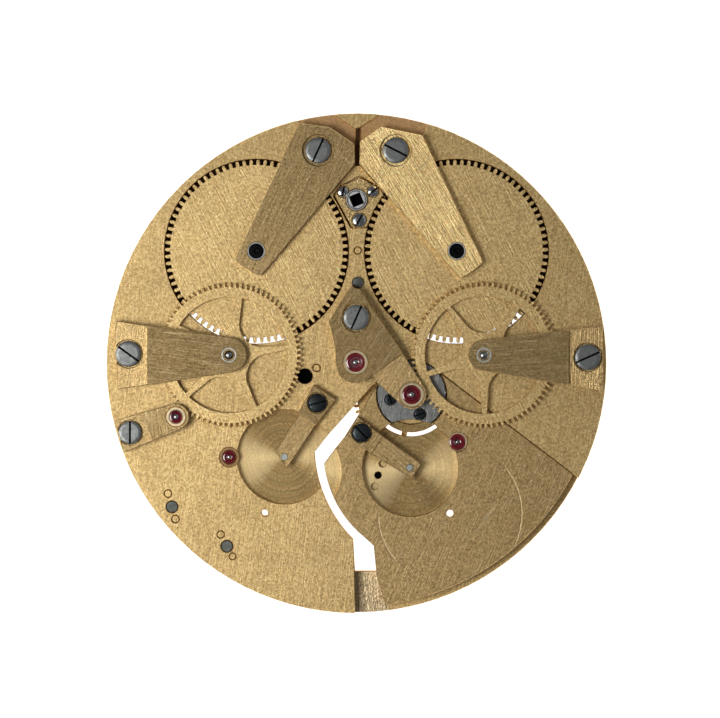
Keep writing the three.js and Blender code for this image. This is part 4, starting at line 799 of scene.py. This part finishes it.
# Painted light: the left barrel cock gets a dark tone and the right one a light tone, for how differently their
# brushing throws back the light.
cock("left_barrel_cock", 64, [round_tool(BARREL["left"], BARREL_HOLE, -1, 9)], tone=0.66, stroke=0.8)
cock("right_barrel_cock", -60, [round_tool(BARREL["right"], BARREL_HOLE, -1, 9)], tone=1.15, stroke=1.4)
cock("left_second_cock", -8, [pierced(SECOND["left"], 0.78, second_top, 0.02)], tone=0.5,
     foot=(0, second_top - 0.2, 0.92, 80))
cock("right_second_cock", 3, [pierced(SECOND["right"], 0.78, second_top, 0.02)], tone=0.6,
     foot=(0, second_top - 0.2, 0.85, 88))
cock("left_third_cock", 100, [round_tool(THIRD["left"], 0.98, -1, 9)], tone=0.52, foot=(0, third_top - 0.1, 0.95, 20))
cock("centre_cock", 57, [round_tool(CENTRE, 1.26, centre_top - 0.5, 9), round_tool(THIRD["right"], 1.26, -1, 9)],
     tone=0.5, stroke=0.7, foot=(0, centre_top - 0.1, 0.88, 57))
cock("left_escape_cock", 52, tone=0.8, stroke=1.0, foot=(PLATE_TOP + 0.9, 9, 0.5, 140))
cock("right_escape_cock", 140, tone=0.68, stroke=0.9, foot=(PLATE_TOP + 0.9, 9, 0.66, 52))
print("cocks made")

# %% [markdown]
# ## Jewels and their settings
# Each train jewel is a ruby disc with an oil sink, rubbed into a polished gold ring. The ring's slope
# carries the light down to the stone, and the steel pivot stands in the middle.

# %% Jewels
GOLD = brass("setting_gold", colour(1.0, 0.78, 0.46), rough=0.3, grain=0.3, drift=0.04, scratches=0.1)
BUSH_STEEL = steel("bush_steel", colour(0.78, 0.8, 0.76), 0.4, pitted=0.1, grain=0.5)


def jewel(node, setting, r=None, sunk=0.0, metal=None):
    low, high = span(node)
    c = middle(node)
    r = r or (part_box(node)[1][0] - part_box(node)[0][0]) / 2 / MM
    top = high - sunk
    sink = [(0.25 + (r * 0.72 - 0.25) * s, top - 0.34 * r * math.cos(s * math.pi / 2) ** 0.8) for s in
            (i / 6 for i in range(7))]
    profile = [(0.24, low), (r - 0.03, low), (r, low + 0.03), (r, top - 0.07), (r - 0.03, top - 0.02),
               (r - 0.09, top)] + sink[::-1]
    piece(f"{node}_fine", turned(c, profile, closed=True, steps=64), RUBY, node)
    rim = high + 0.04
    ring = [(r + 0.005, high - 0.35), (setting, high - 0.35), (setting, rim - 0.03), (setting - 0.03, rim),
            (r + 0.13, rim), (r + 0.005, rim - 0.1)]
    piece(f"{node}_setting", turned(c, ring, closed=True, steps=64), metal or GOLD, body=BODY_OF[node], slot="cock_brass")


jewel("centre_jewel", 1.25)
jewel("right_third_jewel", 1.25)
jewel("left_third_jewel", 0.97)
jewel("left_fourth_jewel", 0.99, metal=brass("setting_dull", colour(0.4, 0.23, 0.1), rough=0.4, grain=0.4))
jewel("right_fourth_jewel", 0.96, r=0.8)
for side, inner in (("left", 0.45), ("right", 0.36)):
    bush = [(inner, second_top - 0.9), (0.775, second_top - 0.9), (0.775, second_top - 0.03), (0.74, second_top),
            (0.66, second_top + 0.01), (inner + 0.06, second_top - 0.03), (inner, second_top - 0.12)]
    piece(f"{side}_second_bush", turned(SECOND[side], bush, closed=True), BUSH_STEEL, body="root", slot="arbor_steel")
    rim = [(0.76, cock_top - 0.4), (BARREL_HOLE - 0.005, cock_top - 0.4), (BARREL_HOLE - 0.005, cock_top), (0.845, cock_top + 0.035),
           (0.8, cock_top + 0.035), (0.76, cock_top)]
    piece(f"{side}_barrel_bush", turned(BARREL[side], rim, closed=True), BUSH_STEEL, body="root", slot="arbor_steel")
for name, node in (("left_fourth_pivot", "left_fourth_jewel"), ("right_fourth_pivot", "right_fourth_jewel")):
    high = span(node)[1]
    piece(name, turned(middle(node), [(0, high - 0.7), (0.2, high - 0.7), (0.2, high - 0.12), (0.16, high - 0.05),
                                      (0, high - 0.02)], steps=24), ARBOR_STEEL, body=BODY_OF[node], slot="arbor_steel")
print("jewels made")

# %% [markdown]
# ## Cap, winding work, posts
# The steel cap covers the platform's pivot and carries two small screws. The winding arbor ends in a
# bright ring with a square hole for the key. The posts and pins are plain steel, with rounded ends.

# %% Small steel work
CAP_STEEL = steel("cap_steel", colour(0.42, 0.42, 0.4), 0.3, pitted=0.1, grain=0.4, brushed=math.radians(84))
WINDING_STEEL = steel("winding_steel", colour(0.9, 0.9, 0.88), 0.42, pitted=0.0, grain=0.1)
piece("platform_cap_fine", broken(cad_copy("platform_cap"), 0.05), CAP_STEEL, "platform_cap")
head_top = span("winding_arbor")[1]
core = carve(cad_copy("winding_arbor"), groove_tool(WINDING, 0.86, 1.3, head_top - 0.6, head_top + 1))
core = piece("winding_arbor_fine", broken(core, 0.03), WINDING_STEEL, "winding_arbor")
# Painted shade: the inside of the key square is made nearly black.
refinish(core, SLOT_SHADE, lambda mid, up: near(mid, WINDING, 0.8) and head_top - 1.3 < mid.z < head_top - 0.06)
rim = [(0.865, head_top - 0.6), (1.07, head_top - 0.6), (1.07, head_top - 0.08), (1.02, head_top), (0.98, head_top),
       (0.865, head_top - 0.16)]
piece("winding_head", turned(WINDING, rim, closed=True, steps=64), WINDING_STEEL, body=BODY_OF["winding_arbor"],
      slot="arbor_steel")
END_STONE = steel("end_piece_pale", colour(0.62, 0.68, 0.64), 0.4, pitted=0.15)
for side in SIDES:
    node = f"{side}_escape_cock"
    arm = {"left": (-7.22, -9.35), "right": (5.31, -10.43)}[side]
    arm_top = PLATE_TOP + 0.7
    piece(f"{side}_escape_end", turned(arm, [(0, arm_top - 0.4), (0.33, arm_top - 0.4), (0.33, arm_top - 0.06),
                                             (0.3, arm_top - 0.03), (0, arm_top - 0.03)], steps=32),
          END_STONE, body=BODY_OF[node], slot="arbor_steel")
piece("winding_plate_fine", broken(cad_copy("winding_plate"), 0.06),
      brass("winding_plate_brushed", BRASS, rough=0.3, brushed=1.2, stroke=0.8), "winding_plate")
POST_STEEL = steel("post_steel", colour(0.2, 0.205, 0.18), 0.4, pitted=0.3)
for name, (c, r) in PINS.items():
    profile = [(0, PLATE_TOP - 0.12), (r, PLATE_TOP - 0.12), (r, PLATE_TOP - 0.03), (r - 0.04, PLATE_TOP + 0.01),
               (0, PLATE_TOP + 0.01)]
    finish = PLATE_BRASS if name == "rivet" or "pin" in name else POST_STEEL
    piece(name, turned(c, profile, steps=32), finish, body="root", slot="plate_brass" if finish is PLATE_BRASS else "arbor_steel")
pin_low, pin_high = span("stop_pin")
pin_r = (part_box("stop_pin")[1][0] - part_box("stop_pin")[0][0]) / 2 / MM
piece("stop_pin_fine", turned(middle("stop_pin"), [(0, pin_low), (pin_r, pin_low), (pin_r, pin_high - 0.12),
                                                  (pin_r * 0.8, pin_high - 0.03), (0, pin_high)]), POST_STEEL, "stop_pin")

# %% [markdown]
# ## The dial side
# The ratchets, click and bars are seen only from below. The ratchets are cut like the other wheels, and
# the bridge and bars are copies of their CAD solids with broken edges and a lengthwise grain.

# %% Dial-side pieces
RATCHET_STEEL = steel("ratchet_steel", colour(0.5, 0.5, 0.49), 0.25, brushed=0.4)
RATCHET_PITCH = pitch_radius(BARREL["left"], WINDING, RATCHET_TEETH, WINDING_TEETH)
WINDING_TOOTH = math.radians(58)
for side in SIDES:
    c = BARREL[side]
    low, high = span(f"{side}_ratchet_wheel")
    lead = WINDING_TOOTH - bearing(WINDING, c)
    phase = bearing(c, WINDING) - lead * WINDING_TEETH / RATCHET_TEETH + math.pi / RATCHET_TEETH
    piece(f"{side}_ratchet_fine", gear(c, RATCHET_TEETH, RATCHET_PITCH, phase, 0.92, low, high, edge=0.03, deep=1.4),
          RATCHET_STEEL, f"{side}_ratchet_wheel")
    square = slab([c + Vector(p) for p in ((-0.65, -0.65), (0.65, -0.65), (0.65, 0.65), (-0.65, 0.65))], low - 0.03, high + 0.08)
    piece(f"{side}_ratchet_square", broken(square, 0.03), ARBOR_STEEL, body=BODY_OF[f"{side}_barrel_arbor"], slot="arbor_steel")
low, high = span("winding_wheel")
piece("winding_wheel_fine", gear(WINDING, WINDING_TEETH, RATCHET_PITCH * WINDING_TEETH / RATCHET_TEETH, WINDING_TOOTH, 0.81,
                                 low, high, edge=0.03, deep=1.4), RATCHET_STEEL, "winding_wheel")
for node, angle in (("barrel_bridge", 0), ("left_third_bar", 16), ("right_third_bar", -30)):
    cock(node, angle, tone=0.95, stroke=0.8)
piece("click_fine", broken(cad_copy("click"), 0.03), RATCHET_STEEL, "click")
piece("click_spring_fine", broken(cad_copy("click_spring"), 0.02), RATCHET_STEEL, "click_spring")
SPRING_BLUE = steel("mainspring_blued", colour(0.1, 0.11, 0.14), 0.25)
for node, cad in frame["nodes"].items():
    if not cad.hide_render:
        for place in cad.material_slots:
            place.link = "OBJECT"
            place.material = SPRING_BLUE if "mainspring" in node else WHEEL_BRASS
        print("kept from the CAD:", node)

# %% [markdown]
# ## Stage
# The movement lies on a pale, evenly lit table, so light comes up through the slot and the small holes.
# One large soft light stands to the upper left, where the plate is brightest, with a weak fill.

# %% Floor, lights and camera
floor_bm = bmesh.new()
bmesh.ops.create_grid(floor_bm, x_segments=1, y_segments=1, size=0.6)
bmesh.ops.translate(floor_bm, vec=(0, 0, -0.0002), verts=floor_bm.verts)
floor_mesh = bpy.data.meshes.new("floor")
floor_bm.to_mesh(floor_mesh)
floor_bm.free()
floor = bpy.data.objects.new("floor", floor_mesh)
bpy.context.scene.collection.objects.link(floor)
paper, tree, shader = new_finish("paper")
fibre = noise(tree, millimetres(tree), 0.8, 3.0)
tint = mixed(tree, spread(tree, fibre, 0.3, 0.7), colour(0.95, 0.95, 0.95), colour(0.92, 0.92, 0.915))
tree.links.new(tint, shader.inputs["Base Color"])
tree.links.new(tint, shader.inputs["Emission Color"])
shader.inputs["Emission Strength"].default_value = 1.05
shader.inputs["Roughness"].default_value = 0.9
floor_mesh.materials.append(paper)


def soft_light(name, place, size, power, aim=(0, 0, 0.003)):
    lamp = bpy.data.lights.new(name, "AREA")
    lamp.shape = "RECTANGLE"
    lamp.size = size[0]
    lamp.size_y = size[1]
    lamp.energy = power
    made = bpy.data.objects.new(name, lamp)
    made.location = place
    made.rotation_euler = (Vector(aim) - Vector(place)).to_track_quat("-Z", "Y").to_euler()
    bpy.context.scene.collection.objects.link(made)


soft_light("key", (-0.105, -0.022, 0.23), (0.075, 0.1), 0.175)
soft_light("fill", (0.16, 0.09, 0.26), (0.2, 0.2), 0.03)
world = bpy.data.worlds.new("room")
world.use_nodes = True
sky = world.node_tree
sky.nodes["Background"].inputs[0].default_value = (0.93, 0.95, 1.0, 1.0)
up_share = add_node(sky, "SeparateXYZ", {"Vector": add_node(sky, "TexCoord").outputs["Generated"]}).outputs[2]
sky.links.new(spread(sky, up_share, 0.1, 0.8, 0.75, 0.1), sky.nodes["Background"].inputs[1])
bpy.context.scene.world = world

camera = bpy.data.cameras.new("camera")
camera.lens = 250.0
camera.sensor_width = 36.0
camera.clip_start = 0.01
camera.clip_end = 5.0
eye = bpy.data.objects.new("camera", camera)
eye.location = (0.00035, 0.00043, 0.504)
bpy.context.scene.collection.objects.link(eye)
bpy.context.scene.camera = eye
bpy.context.scene.view_settings.view_transform = "Standard"
